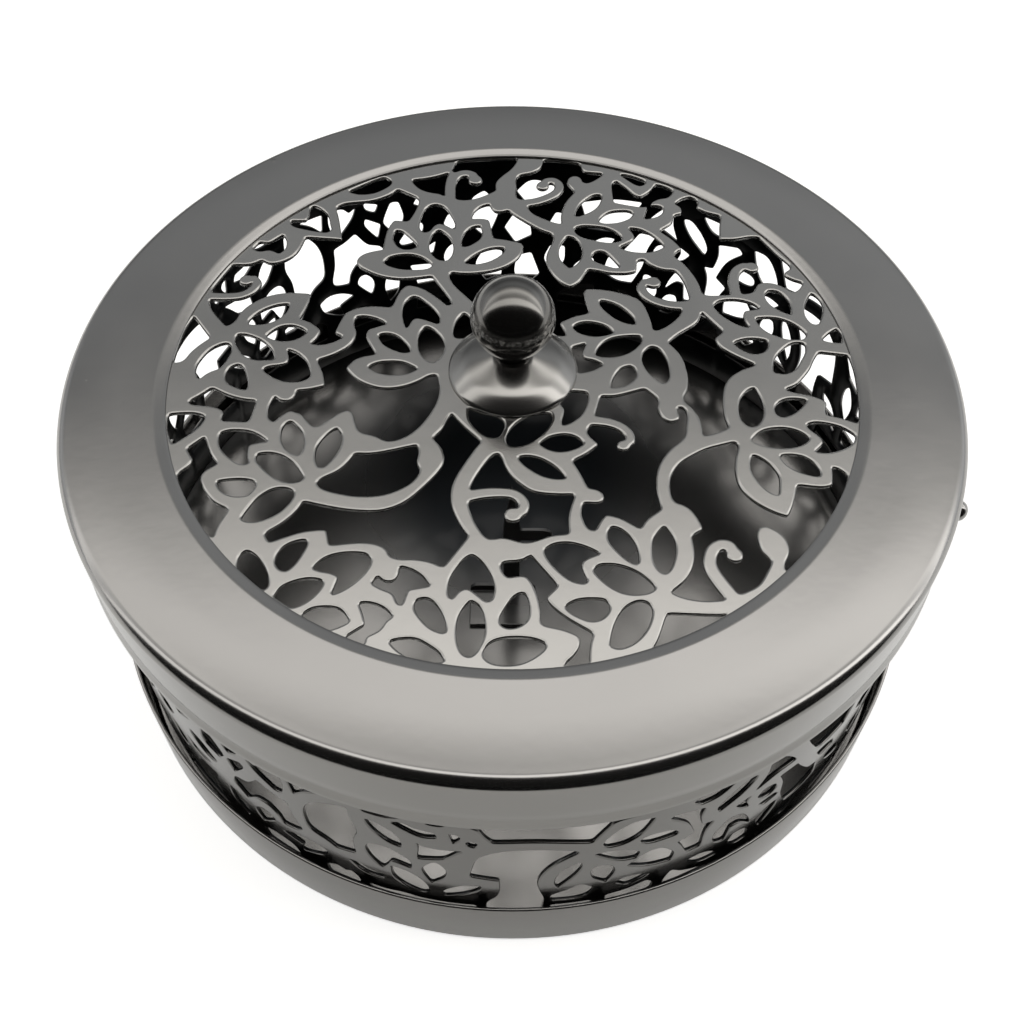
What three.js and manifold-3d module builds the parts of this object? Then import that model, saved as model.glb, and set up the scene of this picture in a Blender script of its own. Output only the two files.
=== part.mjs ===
// Round mosquito coil holder: a cut-out steel box with a cut-out lift-off lid.
// Millimetres, +Z up, origin at the centre of the base pan's underside.
import * as THREE from 'three';
import { mergeVertices } from 'three/addons/utils/BufferGeometryUtils.js';
import Module from 'manifold-3d';

const wasm = await Module();
wasm.setup();

// Driving sizes of the box
const wall_radius = 72.6;
const wall_sheet = 0.7;
const wall_height = 57.9;
const pan_gap = 1.1;
const pan_sheet = 0.7;
const pan_floor_sheet = 0.8;
const pan_ring_height = 14.5;
const pan_corner = 1.2;
const band_sheet = 0.8;
const band_drop = 11;
const band_rise = 0.9;

// Driving sizes of the lid
const lid_gap = 0.5;
const rim_sheet = 0.7;
const rim_width = 17.3;
const rim_slope = 1.6;
const rim_shoulder = 2.8;
const rim_flare = 0.1;
const skirt_height = 13.3;
const hem_height = 0.9;
const hem_proud = 0.3;
const panel_lap = 3.5;
const panel_sheet = 0.7;

// Driving sizes of the knob, its rose and its screw
const ball_radius = 6.36;
const ball_height = 12.4;
const neck_radius = 2.9;
const neck_height = 4.4;
const rose_radius = 10.6;
const rose_edge_height = 0.6;
const rose_shoulder_radius = 7.4;
const rose_shoulder_height = 2.7;
const rose_collar_radius = 3.7;
const rose_collar_height = 4.1;
const rose_sheet = 0.6;
const screw_radius = 1.75;
const screw_depth = 6.5;
const screw_head_radius = 3.8;
const screw_head_height = 2.2;
const screw_slot_width = 0.9;
const screw_slot_depth = 1.1;
const washer_radius = 6.0;
const washer_sheet = 0.8;
const hub_radius = 8.2;

// Driving sizes of the stud on the skirt
const stud_angle = -19;
const stud_drop = 6.8;
const stud_head_radius = 1.7;
const stud_head_height = 1.6;
const stud_brow_radius = 1.2;
const stud_brow_height = 1.15;
const stud_shank_radius = 0.9;
const stud_tail_radius = 1.4;
const stud_tail_height = 0.2;

// Driving sizes of the coil stand
const stand_sheet = 0.8;
const foot_left = 8.3;
const foot_right = 4.8;
const foot_length = 9;
const foot_front = 13.5;
const lip_height = 2.2;
const tongue_width = 3.2;
const tongue_height = 21.5;
const tip_height = 34;
const tab_length = 7.6;
const tab_height = 3.2;
const tab_drop = 0.6;

// Clearances and overruns
const seat_gap = 0.1;
const rest_gap = 0.2;
const cut_gap = 0.3;
const overrun = 1.0;

// Round steps
const big_steps = 40;
const small_steps = 20;
const tiny_steps = 12;
const bend_steps = 4;
const bud_steps = 10;

// Pattern: shares of the pattern units below
const border_share = 0.774;
const wall_depth_share = 0.793;
const curl_step_share = 0.022;
const front_angle = -90;

// Sizes that follow
const pan_radius = wall_radius + pan_gap + pan_sheet;
const rim_radius = wall_radius + lid_gap + rim_sheet;
const rim_inner_radius = rim_radius - rim_width;
const rim_flat_inner_radius = rim_inner_radius + rim_slope;
const panel_radius = rim_inner_radius + panel_lap;
const panel_unit = rim_inner_radius / border_share;
const wall_unit = wall_height / wall_depth_share;

// Heights that follow
const wall_foot = pan_floor_sheet + seat_gap;
const wall_head = wall_foot + wall_height;
const band_head = wall_head + band_rise;
const rim_under = band_head + rest_gap;
const rim_top = rim_under + rim_sheet;
const panel_top = rim_under - seat_gap;
const panel_under = panel_top - panel_sheet;

// The lid panel's openings: rings of x and y from the panel's centre, in panel units.
// Where one runs past the rim's inner edge, the panel's seat closes it.
const panel_opening_shares = [
  [[0.081, 0.781], [0.076, 0.747], [0.067, 0.728], [0.046, 0.712], [0.014, 0.701], [0.006, 0.683],
    [0.008, 0.658], [0.006, 0.635], [0.009, 0.612], [0.022, 0.596], [0.052, 0.546], [0.099, 0.516],
    [0.121, 0.508], [0.120, 0.540], [0.134, 0.596], [0.158, 0.636], [0.140, 0.669], [0.140, 0.686],
    [0.148, 0.697], [0.162, 0.701], [0.176, 0.692], [0.180, 0.673], [0.192, 0.671], [0.226, 0.698],
    [0.235, 0.711], [0.186, 0.716], [0.177, 0.736], [0.176, 0.770]],
  [[0.226, 0.624], [0.210, 0.624], [0.190, 0.610], [0.173, 0.590], [0.162, 0.568], [0.155, 0.540],
    [0.162, 0.536], [0.196, 0.557], [0.212, 0.574], [0.222, 0.596], [0.227, 0.616]],
  [[0.258, 0.673], [0.268, 0.680], [0.294, 0.650], [0.310, 0.627], [0.324, 0.614], [0.341, 0.628],
    [0.356, 0.645], [0.369, 0.668], [0.392, 0.658], [0.414, 0.642], [0.404, 0.624], [0.394, 0.613],
    [0.372, 0.608], [0.356, 0.596], [0.347, 0.578], [0.327, 0.576], [0.257, 0.593]],
  [[0.277, 0.708], [0.294, 0.706], [0.316, 0.697], [0.344, 0.681], [0.341, 0.669], [0.330, 0.659],
    [0.316, 0.666]],
  [[0.214, 0.519], [0.226, 0.540], [0.246, 0.556], [0.271, 0.561], [0.294, 0.560], [0.306, 0.550],
    [0.294, 0.532], [0.271, 0.518], [0.246, 0.512], [0.224, 0.513]],
  [[0.344, 0.582], [0.366, 0.582], [0.382, 0.576], [0.380, 0.557], [0.366, 0.540], [0.347, 0.532],
    [0.330, 0.528]],
  [[0.412, 0.589], [0.428, 0.606], [0.453, 0.618], [0.468, 0.608], [0.473, 0.596], [0.466, 0.576],
    [0.487, 0.558], [0.526, 0.543], [0.519, 0.506], [0.514, 0.452], [0.551, 0.453], [0.590, 0.462],
    [0.613, 0.462], [0.652, 0.394], [0.677, 0.355], [0.674, 0.344], [0.660, 0.333], [0.659, 0.322],
    [0.674, 0.308], [0.700, 0.296], [0.687, 0.274], [0.672, 0.261], [0.635, 0.291], [0.607, 0.296],
    [0.590, 0.291], [0.575, 0.263], [0.540, 0.252], [0.459, 0.252], [0.453, 0.260], [0.449, 0.288],
    [0.436, 0.327], [0.411, 0.372], [0.397, 0.386], [0.400, 0.403], [0.418, 0.416], [0.397, 0.450],
    [0.366, 0.484], [0.400, 0.515], [0.406, 0.544], [0.428, 0.551], [0.428, 0.574]],
  [[0.151, 0.492], [0.170, 0.501], [0.204, 0.500], [0.232, 0.494], [0.257, 0.478], [0.272, 0.459],
    [0.268, 0.446], [0.249, 0.439], [0.226, 0.440], [0.204, 0.446], [0.176, 0.456], [0.159, 0.470]],
  [[0.288, 0.495], [0.316, 0.490], [0.344, 0.470], [0.364, 0.445], [0.375, 0.425], [0.361, 0.414],
    [0.338, 0.404], [0.310, 0.403], [0.285, 0.408], [0.260, 0.421], [0.299, 0.450], [0.302, 0.467]],
  [[0.134, 0.462], [0.151, 0.456], [0.165, 0.434], [0.170, 0.406], [0.165, 0.378], [0.151, 0.355],
    [0.137, 0.343], [0.124, 0.361], [0.114, 0.383], [0.113, 0.411], [0.119, 0.434]],
  [[0.212, 0.407], [0.226, 0.403], [0.238, 0.389], [0.261, 0.350], [0.254, 0.345], [0.232, 0.352],
    [0.196, 0.372], [0.192, 0.383], [0.196, 0.397]],
  [[-0.098, 0.226], [-0.145, 0.288], [-0.155, 0.316], [-0.151, 0.327], [-0.126, 0.323], [-0.092, 0.324],
    [-0.047, 0.334], [-0.014, 0.352], [0.014, 0.383], [0.025, 0.420], [0.023, 0.434], [-0.014, 0.446],
    [-0.050, 0.453], [-0.061, 0.523], [-0.081, 0.528], [-0.106, 0.526], [-0.101, 0.551], [-0.084, 0.574],
    [-0.061, 0.585], [-0.056, 0.568], [-0.047, 0.554], [-0.028, 0.554], [-0.014, 0.562], [0.005, 0.540],
    [0.070, 0.484], [0.098, 0.468], [0.100, 0.453], [0.082, 0.394], [0.082, 0.361], [0.092, 0.327],
    [0.114, 0.294], [0.137, 0.276], [0.158, 0.294], [0.182, 0.340], [0.210, 0.334], [0.232, 0.327],
    [0.277, 0.326], [0.300, 0.333], [0.303, 0.372], [0.319, 0.378], [0.338, 0.355], [0.366, 0.340],
    [0.394, 0.336], [0.406, 0.316], [0.416, 0.282], [0.420, 0.240], [0.389, 0.176], [0.366, 0.151],
    [0.338, 0.131], [0.327, 0.132], [0.323, 0.170], [0.302, 0.232], [0.254, 0.258], [0.215, 0.268],
    [0.173, 0.271], [0.169, 0.254], [0.172, 0.226], [0.179, 0.187], [0.142, 0.175], [0.108, 0.154],
    [0.120, 0.128], [0.123, 0.110], [0.095, 0.116], [0.053, 0.148], [-0.054, 0.176]],
  [[0.205, 0.231], [0.221, 0.229], [0.249, 0.215], [0.271, 0.193], [0.285, 0.170], [0.287, 0.149],
    [0.266, 0.154], [0.240, 0.170], [0.218, 0.196], [0.207, 0.215]],
  [[0.138, 0.142], [0.154, 0.154], [0.176, 0.158], [0.204, 0.152], [0.224, 0.140], [0.236, 0.123],
    [0.215, 0.114], [0.187, 0.110], [0.165, 0.116], [0.148, 0.126]],
  [[0.298, 0.113], [0.271, 0.113], [0.232, 0.106], [0.210, 0.092], [0.196, 0.072], [0.188, 0.050],
    [0.204, 0.044], [0.232, 0.044], [0.260, 0.054], [0.285, 0.075], [0.298, 0.095]],
  [[0.474, 0.215], [0.487, 0.229], [0.518, 0.236], [0.548, 0.232], [0.571, 0.221], [0.586, 0.205],
    [0.546, 0.198], [0.543, 0.182], [0.546, 0.159], [0.554, 0.141], [0.532, 0.148], [0.506, 0.168],
    [0.487, 0.190]],
  [[0.612, 0.268], [0.632, 0.266], [0.652, 0.243], [0.659, 0.215], [0.656, 0.184], [0.632, 0.198],
    [0.613, 0.218], [0.603, 0.240], [0.603, 0.257]],
  [[0.569, 0.173], [0.596, 0.176], [0.624, 0.173], [0.652, 0.159], [0.674, 0.137], [0.684, 0.121],
    [0.674, 0.104], [0.646, 0.103], [0.618, 0.112], [0.590, 0.131], [0.575, 0.154]],
  [[0.508, 0.092], [0.532, 0.103], [0.562, 0.106], [0.590, 0.100], [0.588, 0.078], [0.574, 0.061],
    [0.551, 0.056], [0.529, 0.067]],
  [[0.660, 0.095], [0.676, 0.089], [0.672, 0.064], [0.658, 0.036], [0.641, 0.008], [0.618, -0.006],
    [0.590, -0.002], [0.593, 0.019], [0.602, 0.047], [0.621, 0.072], [0.641, 0.089]],
  [[0.714, 0.260], [0.728, 0.243], [0.735, 0.215], [0.728, 0.182], [0.716, 0.154], [0.702, 0.154],
    [0.691, 0.176], [0.690, 0.204], [0.700, 0.235]],
  [[0.756, 0.140], [0.733, 0.123], [0.716, 0.103], [0.733, 0.096], [0.761, 0.092], [0.764, 0.120]],
  [[0.702, 0.063], [0.775, 0.052], [0.798, -0.020], [0.798, -0.132], [0.764, -0.157], [0.719, -0.137],
    [0.691, -0.129], [0.692, -0.112], [0.699, -0.092], [0.687, -0.082], [0.660, -0.071], [0.632, -0.064],
    [0.608, -0.054], [0.636, -0.039], [0.660, -0.011], [0.677, 0.014], [0.687, 0.036]],
  [[0.446, 0.193], [0.491, 0.128], [0.467, 0.106], [0.476, 0.081], [0.506, 0.053], [0.554, 0.022],
    [0.506, -0.003], [0.481, -0.031], [0.470, -0.064], [0.466, -0.103], [0.467, -0.143], [0.473, -0.168],
    [0.439, -0.185], [0.414, -0.192], [0.414, -0.166], [0.411, -0.143], [0.400, -0.115], [0.380, -0.087],
    [0.392, -0.053], [0.396, -0.014], [0.394, 0.008], [0.388, 0.042], [0.372, 0.075], [0.358, 0.092],
    [0.383, 0.117], [0.432, 0.159]],
  [[0.319, 0.080], [0.302, 0.064], [0.295, 0.036], [0.302, 0.008], [0.319, -0.020], [0.338, -0.040],
    [0.350, -0.028], [0.355, 0.008], [0.350, 0.042], [0.336, 0.072]],
  [[0.268, 0.018], [0.277, 0.008], [0.280, -0.014], [0.268, -0.033], [0.249, -0.047], [0.220, -0.053],
    [0.221, -0.042], [0.232, -0.011], [0.246, 0.009]],
  [[0.134, 0.075], [0.170, 0.088], [0.159, 0.058], [0.162, 0.039], [0.187, 0.033], [0.207, 0.019],
    [0.182, 0.002], [0.148, -0.008], [0.146, 0.025]],
  [[0.542, -0.048], [0.526, -0.056], [0.509, -0.078], [0.501, -0.106], [0.501, -0.137], [0.508, -0.156],
    [0.520, -0.166], [0.534, -0.162], [0.548, -0.142], [0.555, -0.114], [0.552, -0.081]],
  [[0.656, -0.086], [0.630, -0.081], [0.604, -0.084], [0.585, -0.098], [0.579, -0.117], [0.585, -0.132],
    [0.593, -0.137], [0.613, -0.130], [0.635, -0.112]],
  [[0.641, -0.158], [0.660, -0.151], [0.688, -0.154], [0.719, -0.165], [0.747, -0.188], [0.736, -0.210],
    [0.708, -0.229], [0.677, -0.238], [0.649, -0.235], [0.666, -0.218], [0.674, -0.207], [0.666, -0.190],
    [0.652, -0.176]],
  [[0.516, -0.205], [0.526, -0.190], [0.546, -0.175], [0.574, -0.168], [0.602, -0.169], [0.627, -0.179],
    [0.646, -0.197], [0.632, -0.212], [0.610, -0.222], [0.582, -0.226], [0.551, -0.222], [0.532, -0.215]],
  [[0.515, -0.244], [0.509, -0.260], [0.508, -0.288], [0.518, -0.316], [0.532, -0.338], [0.546, -0.350],
    [0.557, -0.354], [0.562, -0.327], [0.564, -0.302], [0.554, -0.277], [0.540, -0.260], [0.526, -0.249]],
  [[0.572, -0.246], [0.596, -0.243], [0.624, -0.249], [0.644, -0.266], [0.652, -0.285], [0.652, -0.304],
    [0.630, -0.299], [0.604, -0.288], [0.585, -0.271]],
  [[0.481, -0.208], [0.417, -0.229], [0.383, -0.249], [0.355, -0.271], [0.338, -0.299], [0.332, -0.327],
    [0.333, -0.355], [0.338, -0.372], [0.361, -0.383], [0.380, -0.408], [0.392, -0.442], [0.366, -0.459],
    [0.369, -0.495], [0.366, -0.523], [0.355, -0.551], [0.338, -0.574], [0.313, -0.596], [0.327, -0.604],
    [0.350, -0.612], [0.383, -0.616], [0.420, -0.613], [0.439, -0.606], [0.487, -0.579], [0.506, -0.551],
    [0.522, -0.520], [0.506, -0.498], [0.500, -0.473], [0.501, -0.445], [0.512, -0.434], [0.526, -0.436],
    [0.546, -0.450], [0.560, -0.473], [0.560, -0.501], [0.548, -0.526], [0.546, -0.546], [0.574, -0.546],
    [0.725, -0.305], [0.708, -0.296], [0.694, -0.282], [0.680, -0.277], [0.679, -0.299], [0.674, -0.326],
    [0.655, -0.332], [0.599, -0.326], [0.593, -0.350], [0.582, -0.383], [0.568, -0.410], [0.540, -0.397],
    [0.506, -0.372], [0.481, -0.338], [0.473, -0.305], [0.476, -0.260], [0.487, -0.215]],
  [[0.302, -0.646], [0.408, -0.649], [0.428, -0.646], [0.428, -0.686], [0.282, -0.747], [0.268, -0.725],
    [0.276, -0.714], [0.288, -0.686]],
  [[0.249, -0.617], [0.266, -0.620], [0.274, -0.632], [0.271, -0.658], [0.257, -0.688], [0.232, -0.714],
    [0.204, -0.725], [0.188, -0.719], [0.193, -0.691], [0.204, -0.658], [0.221, -0.632]],
  [[0.103, -0.630], [0.126, -0.616], [0.159, -0.612], [0.184, -0.614], [0.192, -0.630], [0.187, -0.646],
    [0.173, -0.660], [0.154, -0.664], [0.131, -0.655], [0.114, -0.644]],
  [[0.162, -0.546], [0.170, -0.534], [0.198, -0.530], [0.226, -0.536], [0.254, -0.551], [0.277, -0.574],
    [0.285, -0.586], [0.274, -0.596], [0.249, -0.602], [0.221, -0.599], [0.196, -0.585], [0.176, -0.565]],
  [[0.313, -0.434], [0.299, -0.448], [0.288, -0.467], [0.284, -0.495], [0.285, -0.523], [0.294, -0.546],
    [0.305, -0.554], [0.316, -0.543], [0.328, -0.512], [0.332, -0.484], [0.327, -0.459]],
  [[0.204, -0.436], [0.221, -0.442], [0.243, -0.464], [0.253, -0.490], [0.254, -0.526], [0.249, -0.532],
    [0.232, -0.520], [0.210, -0.495], [0.197, -0.473], [0.196, -0.450]],
  [[0.064, -0.495], [0.086, -0.481], [0.117, -0.478], [0.148, -0.487], [0.179, -0.504], [0.154, -0.515],
    [0.140, -0.526], [0.140, -0.540], [0.151, -0.571], [0.145, -0.578], [0.120, -0.571], [0.092, -0.546],
    [0.072, -0.518]],
  [[0.039, -0.509], [0.019, -0.522], [-0.013, -0.526], [-0.023, -0.530], [-0.019, -0.548], [-0.008, -0.564],
    [0.008, -0.560], [0.028, -0.560], [0.039, -0.574], [0.050, -0.602], [0.057, -0.641], [0.058, -0.670],
    [0.064, -0.674], [0.100, -0.683], [0.131, -0.697], [0.132, -0.714], [0.117, -0.742], [0.100, -0.760],
    [0.100, -0.786], [0.147, -0.786], [0.147, -0.758], [0.151, -0.714], [0.158, -0.691], [0.109, -0.658],
    [0.081, -0.632], [0.067, -0.610], [0.092, -0.582]],
  [[0.196, -0.076], [0.226, -0.076], [0.296, -0.053], [0.323, -0.086], [0.320, -0.110], [0.326, -0.134],
    [0.338, -0.149], [0.352, -0.152], [0.368, -0.142], [0.363, -0.112], [0.369, -0.107], [0.379, -0.111],
    [0.384, -0.131], [0.380, -0.159], [0.372, -0.196], [0.338, -0.232], [0.316, -0.266], [0.305, -0.299],
    [0.302, -0.338], [0.309, -0.392], [0.291, -0.406], [0.274, -0.422], [0.263, -0.442], [0.221, -0.414],
    [0.193, -0.406], [0.182, -0.422], [0.170, -0.448], [0.158, -0.444], [0.147, -0.420], [0.144, -0.397],
    [0.148, -0.375], [0.182, -0.376], [0.192, -0.366], [0.191, -0.352], [0.176, -0.340], [0.160, -0.338],
    [0.142, -0.291], [0.128, -0.263], [0.159, -0.243], [0.187, -0.216], [0.173, -0.201], [0.162, -0.182],
    [0.183, -0.127]],
  [[0.130, -0.061], [0.165, -0.064], [0.168, -0.081], [0.162, -0.109], [0.148, -0.137], [0.127, -0.156],
    [0.110, -0.165], [0.108, -0.154], [0.113, -0.131], [0.114, -0.112], [0.103, -0.100]],
  [[0.086, -0.128], [0.047, -0.131], [0.014, -0.151], [-0.006, -0.176], [-0.014, -0.204], [-0.009, -0.224],
    [0.008, -0.225], [0.030, -0.218], [0.058, -0.198], [0.078, -0.170], [0.088, -0.145]],
  [[0.056, -0.215], [0.072, -0.201], [0.092, -0.192], [0.120, -0.189], [0.142, -0.198], [0.156, -0.215],
    [0.142, -0.226], [0.120, -0.236], [0.095, -0.238], [0.072, -0.229]],
  [[0.011, -0.254], [0.030, -0.250], [0.058, -0.256], [0.086, -0.274], [0.106, -0.296], [0.114, -0.312],
    [0.092, -0.313], [0.064, -0.305], [0.039, -0.288], [0.022, -0.271]],
  [[-0.032, -0.243], [-0.025, -0.249], [-0.016, -0.277], [-0.002, -0.304], [0.018, -0.327], [0.044, -0.347],
    [0.086, -0.354], [0.131, -0.354], [0.117, -0.406], [0.116, -0.456], [0.081, -0.460], [0.029, -0.478],
    [-0.017, -0.466], [-0.047, -0.469], [-0.064, -0.450], [-0.078, -0.422], [-0.091, -0.378],
    [-0.088, -0.338], [-0.081, -0.316], [-0.047, -0.254]],
  [[-0.054, -0.733], [-0.042, -0.714], [-0.020, -0.704], [0.008, -0.701], [0.042, -0.704], [0.067, -0.714],
    [0.064, -0.725], [0.047, -0.742], [0.019, -0.758], [-0.009, -0.762], [-0.037, -0.758],
    [-0.051, -0.747]],
  [[0.022, -0.599], [0.005, -0.607], [-0.014, -0.635], [-0.023, -0.658], [-0.020, -0.674], [-0.006, -0.681],
    [0.014, -0.677], [0.030, -0.663], [0.035, -0.641], [0.032, -0.613], [0.028, -0.602]],
  [[-0.330, 0.009], [-0.313, 0.021], [-0.282, 0.027], [-0.249, 0.024], [-0.214, 0.004], [-0.238, -0.011],
    [-0.268, -0.016], [-0.305, -0.009]],
  [[-0.170, -0.015], [-0.164, -0.053], [-0.168, -0.092], [-0.182, -0.131], [-0.204, -0.170],
    [-0.232, -0.198], [-0.268, -0.211], [-0.299, -0.196], [-0.332, -0.184], [-0.343, -0.159],
    [-0.352, -0.127], [-0.368, -0.123], [-0.394, -0.142], [-0.417, -0.165], [-0.432, -0.173],
    [-0.448, -0.156], [-0.462, -0.137], [-0.490, -0.124], [-0.506, -0.137], [-0.523, -0.159],
    [-0.534, -0.148], [-0.538, -0.114], [-0.529, -0.081], [-0.515, -0.095], [-0.495, -0.096],
    [-0.484, -0.081], [-0.483, -0.064], [-0.456, -0.061], [-0.421, -0.050], [-0.428, -0.014],
    [-0.446, 0.030], [-0.411, 0.047], [-0.378, 0.075], [-0.365, 0.103], [-0.365, 0.126], [-0.372, 0.148],
    [-0.369, 0.172], [-0.344, 0.173], [-0.313, 0.162], [-0.294, 0.148], [-0.338, 0.129], [-0.341, 0.109],
    [-0.327, 0.075], [-0.313, 0.049], [-0.355, 0.036], [-0.380, 0.006], [-0.350, -0.030], [-0.316, -0.050],
    [-0.282, -0.057], [-0.243, -0.050], [-0.210, -0.033], [-0.186, -0.016]],
  [[-0.338, -0.246], [-0.299, -0.246], [-0.204, -0.221], [-0.201, -0.243], [-0.204, -0.271],
    [-0.196, -0.291], [-0.210, -0.322], [-0.238, -0.344], [-0.271, -0.358], [-0.316, -0.362],
    [-0.361, -0.355], [-0.400, -0.341], [-0.412, -0.327], [-0.403, -0.316], [-0.372, -0.296],
    [-0.352, -0.271]],
  [[-0.383, -0.173], [-0.403, -0.193], [-0.420, -0.226], [-0.421, -0.260], [-0.412, -0.285],
    [-0.400, -0.285], [-0.383, -0.260], [-0.370, -0.226], [-0.370, -0.193]],
  [[-0.484, -0.154], [-0.498, -0.165], [-0.502, -0.193], [-0.495, -0.221], [-0.478, -0.243],
    [-0.459, -0.253], [-0.452, -0.243], [-0.450, -0.210], [-0.459, -0.182]],
  [[-0.547, -0.249], [-0.523, -0.245], [-0.490, -0.254], [-0.462, -0.277], [-0.438, -0.316],
    [-0.456, -0.326], [-0.484, -0.323], [-0.512, -0.305], [-0.534, -0.282], [-0.546, -0.266]],
  [[-0.635, -0.190], [-0.618, -0.183], [-0.590, -0.182], [-0.565, -0.187], [-0.546, -0.198],
    [-0.526, -0.214], [-0.551, -0.218], [-0.569, -0.225], [-0.568, -0.249], [-0.561, -0.277],
    [-0.579, -0.277], [-0.604, -0.260], [-0.624, -0.238], [-0.634, -0.215]],
  [[-0.623, -0.324], [-0.596, -0.319], [-0.562, -0.318], [-0.540, -0.324], [-0.539, -0.338],
    [-0.551, -0.361], [-0.574, -0.364], [-0.596, -0.358], [-0.613, -0.344]],
  [[-0.455, -0.350], [-0.473, -0.341], [-0.501, -0.344], [-0.529, -0.366], [-0.546, -0.394],
    [-0.558, -0.422], [-0.540, -0.430], [-0.512, -0.425], [-0.484, -0.408], [-0.464, -0.383],
    [-0.456, -0.364]],
  [[-0.134, -0.130], [-0.098, -0.176], [-0.067, -0.210], [-0.081, -0.232], [-0.120, -0.310],
    [-0.128, -0.344], [-0.126, -0.383], [-0.114, -0.417], [-0.100, -0.445], [-0.088, -0.462],
    [-0.137, -0.539], [-0.165, -0.526], [-0.198, -0.520], [-0.226, -0.520], [-0.246, -0.512],
    [-0.249, -0.501], [-0.266, -0.487], [-0.299, -0.480], [-0.369, -0.487], [-0.378, -0.448],
    [-0.406, -0.450], [-0.434, -0.456], [-0.492, -0.481], [-0.504, -0.459], [-0.473, -0.434],
    [-0.450, -0.406], [-0.434, -0.376], [-0.361, -0.394], [-0.316, -0.400], [-0.271, -0.399],
    [-0.232, -0.383], [-0.198, -0.350], [-0.148, -0.277], [-0.145, -0.254], [-0.154, -0.226],
    [-0.173, -0.201], [-0.154, -0.176], [-0.141, -0.142]],
  [[-0.673, -0.057], [-0.630, -0.081], [-0.596, -0.092], [-0.568, -0.095], [-0.578, -0.158],
    [-0.638, -0.155], [-0.635, -0.128], [-0.652, -0.117], [-0.714, -0.106], [-0.719, -0.099],
    [-0.697, -0.081]],
  [[-0.756, -0.137], [-0.730, -0.134], [-0.697, -0.134], [-0.673, -0.142], [-0.680, -0.165],
    [-0.694, -0.187], [-0.733, -0.224], [-0.753, -0.176]],
  [[-0.666, -0.201], [-0.646, -0.249], [-0.627, -0.277], [-0.646, -0.291], [-0.658, -0.308],
    [-0.652, -0.333], [-0.635, -0.361], [-0.613, -0.383], [-0.586, -0.397], [-0.604, -0.445],
    [-0.607, -0.470], [-0.635, -0.445], [-0.674, -0.400], [-0.700, -0.350], [-0.711, -0.308],
    [-0.686, -0.280], [-0.680, -0.266], [-0.700, -0.235]],
  [[-0.534, -0.500], [-0.546, -0.512], [-0.548, -0.540], [-0.540, -0.562], [-0.518, -0.582],
    [-0.487, -0.597], [-0.481, -0.588], [-0.484, -0.562], [-0.498, -0.532], [-0.515, -0.512]],
  [[-0.416, -0.473], [-0.439, -0.478], [-0.462, -0.492], [-0.473, -0.512], [-0.472, -0.534],
    [-0.462, -0.548], [-0.448, -0.552], [-0.434, -0.534], [-0.421, -0.506], [-0.414, -0.484]],
  [[-0.399, -0.543], [-0.378, -0.520], [-0.350, -0.508], [-0.316, -0.505], [-0.291, -0.509],
    [-0.282, -0.523], [-0.288, -0.546], [-0.308, -0.574], [-0.333, -0.596], [-0.355, -0.607],
    [-0.343, -0.562], [-0.361, -0.554], [-0.383, -0.550]],
  [[-0.468, -0.611], [-0.456, -0.590], [-0.428, -0.574], [-0.400, -0.568], [-0.375, -0.571],
    [-0.372, -0.580], [-0.386, -0.607], [-0.406, -0.627], [-0.428, -0.638]],
  [[-0.408, -0.652], [-0.389, -0.638], [-0.361, -0.634], [-0.336, -0.638], [-0.319, -0.655],
    [-0.313, -0.668], [-0.333, -0.680], [-0.352, -0.687], [-0.378, -0.680], [-0.397, -0.666]],
  [[-0.299, -0.624], [-0.277, -0.624], [-0.249, -0.635], [-0.229, -0.655], [-0.243, -0.666],
    [-0.254, -0.686], [-0.280, -0.702], [-0.280, -0.722], [-0.299, -0.715], [-0.319, -0.702],
    [-0.282, -0.674], [-0.288, -0.652]],
  [[-0.266, -0.560], [-0.278, -0.578], [-0.260, -0.590], [-0.232, -0.604], [-0.224, -0.624],
    [-0.215, -0.631], [-0.205, -0.593], [-0.160, -0.584], [-0.176, -0.562], [-0.198, -0.546],
    [-0.224, -0.537], [-0.225, -0.557], [-0.235, -0.575], [-0.252, -0.574]],
  [[-0.187, -0.616], [-0.165, -0.613], [-0.145, -0.630], [-0.131, -0.658], [-0.126, -0.686],
    [-0.128, -0.694], [-0.154, -0.683], [-0.176, -0.660], [-0.190, -0.635]],
  [[-0.080, -0.508], [-0.095, -0.518], [-0.114, -0.546], [-0.124, -0.574], [-0.124, -0.607],
    [-0.117, -0.616], [-0.109, -0.602], [-0.098, -0.592], [-0.086, -0.590], [-0.070, -0.602],
    [-0.050, -0.621], [-0.039, -0.618], [-0.034, -0.590], [-0.039, -0.562], [-0.053, -0.534],
    [-0.067, -0.518]],
  [[-0.080, -0.617], [-0.098, -0.641], [-0.106, -0.674], [-0.103, -0.714], [-0.092, -0.739],
    [-0.078, -0.746], [-0.064, -0.730], [-0.052, -0.697], [-0.052, -0.663], [-0.061, -0.632]],
  [[-0.235, -0.711], [-0.210, -0.705], [-0.182, -0.706], [-0.154, -0.722], [-0.134, -0.739],
    [-0.126, -0.756], [-0.159, -0.756], [-0.193, -0.747], [-0.218, -0.730]],
  [[-0.098, -0.112], [-0.070, -0.127], [-0.030, -0.140], [-0.018, -0.154], [-0.019, -0.176],
    [-0.028, -0.196], [-0.042, -0.201], [-0.061, -0.193], [-0.081, -0.173], [-0.095, -0.148]],
  [[-0.624, 0.016], [-0.641, 0.006], [-0.648, -0.016], [-0.645, -0.036], [-0.630, -0.050], [-0.607, -0.061],
    [-0.594, -0.064], [-0.595, -0.042], [-0.604, -0.011], [-0.613, 0.009]],
  [[-0.518, 0.064], [-0.495, 0.053], [-0.473, 0.031], [-0.462, 0.006], [-0.457, -0.014], [-0.462, -0.029],
    [-0.484, -0.038], [-0.518, -0.036], [-0.546, -0.020], [-0.568, 0.000], [-0.554, 0.009], [-0.529, 0.013],
    [-0.513, 0.019], [-0.511, 0.034]],
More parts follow.
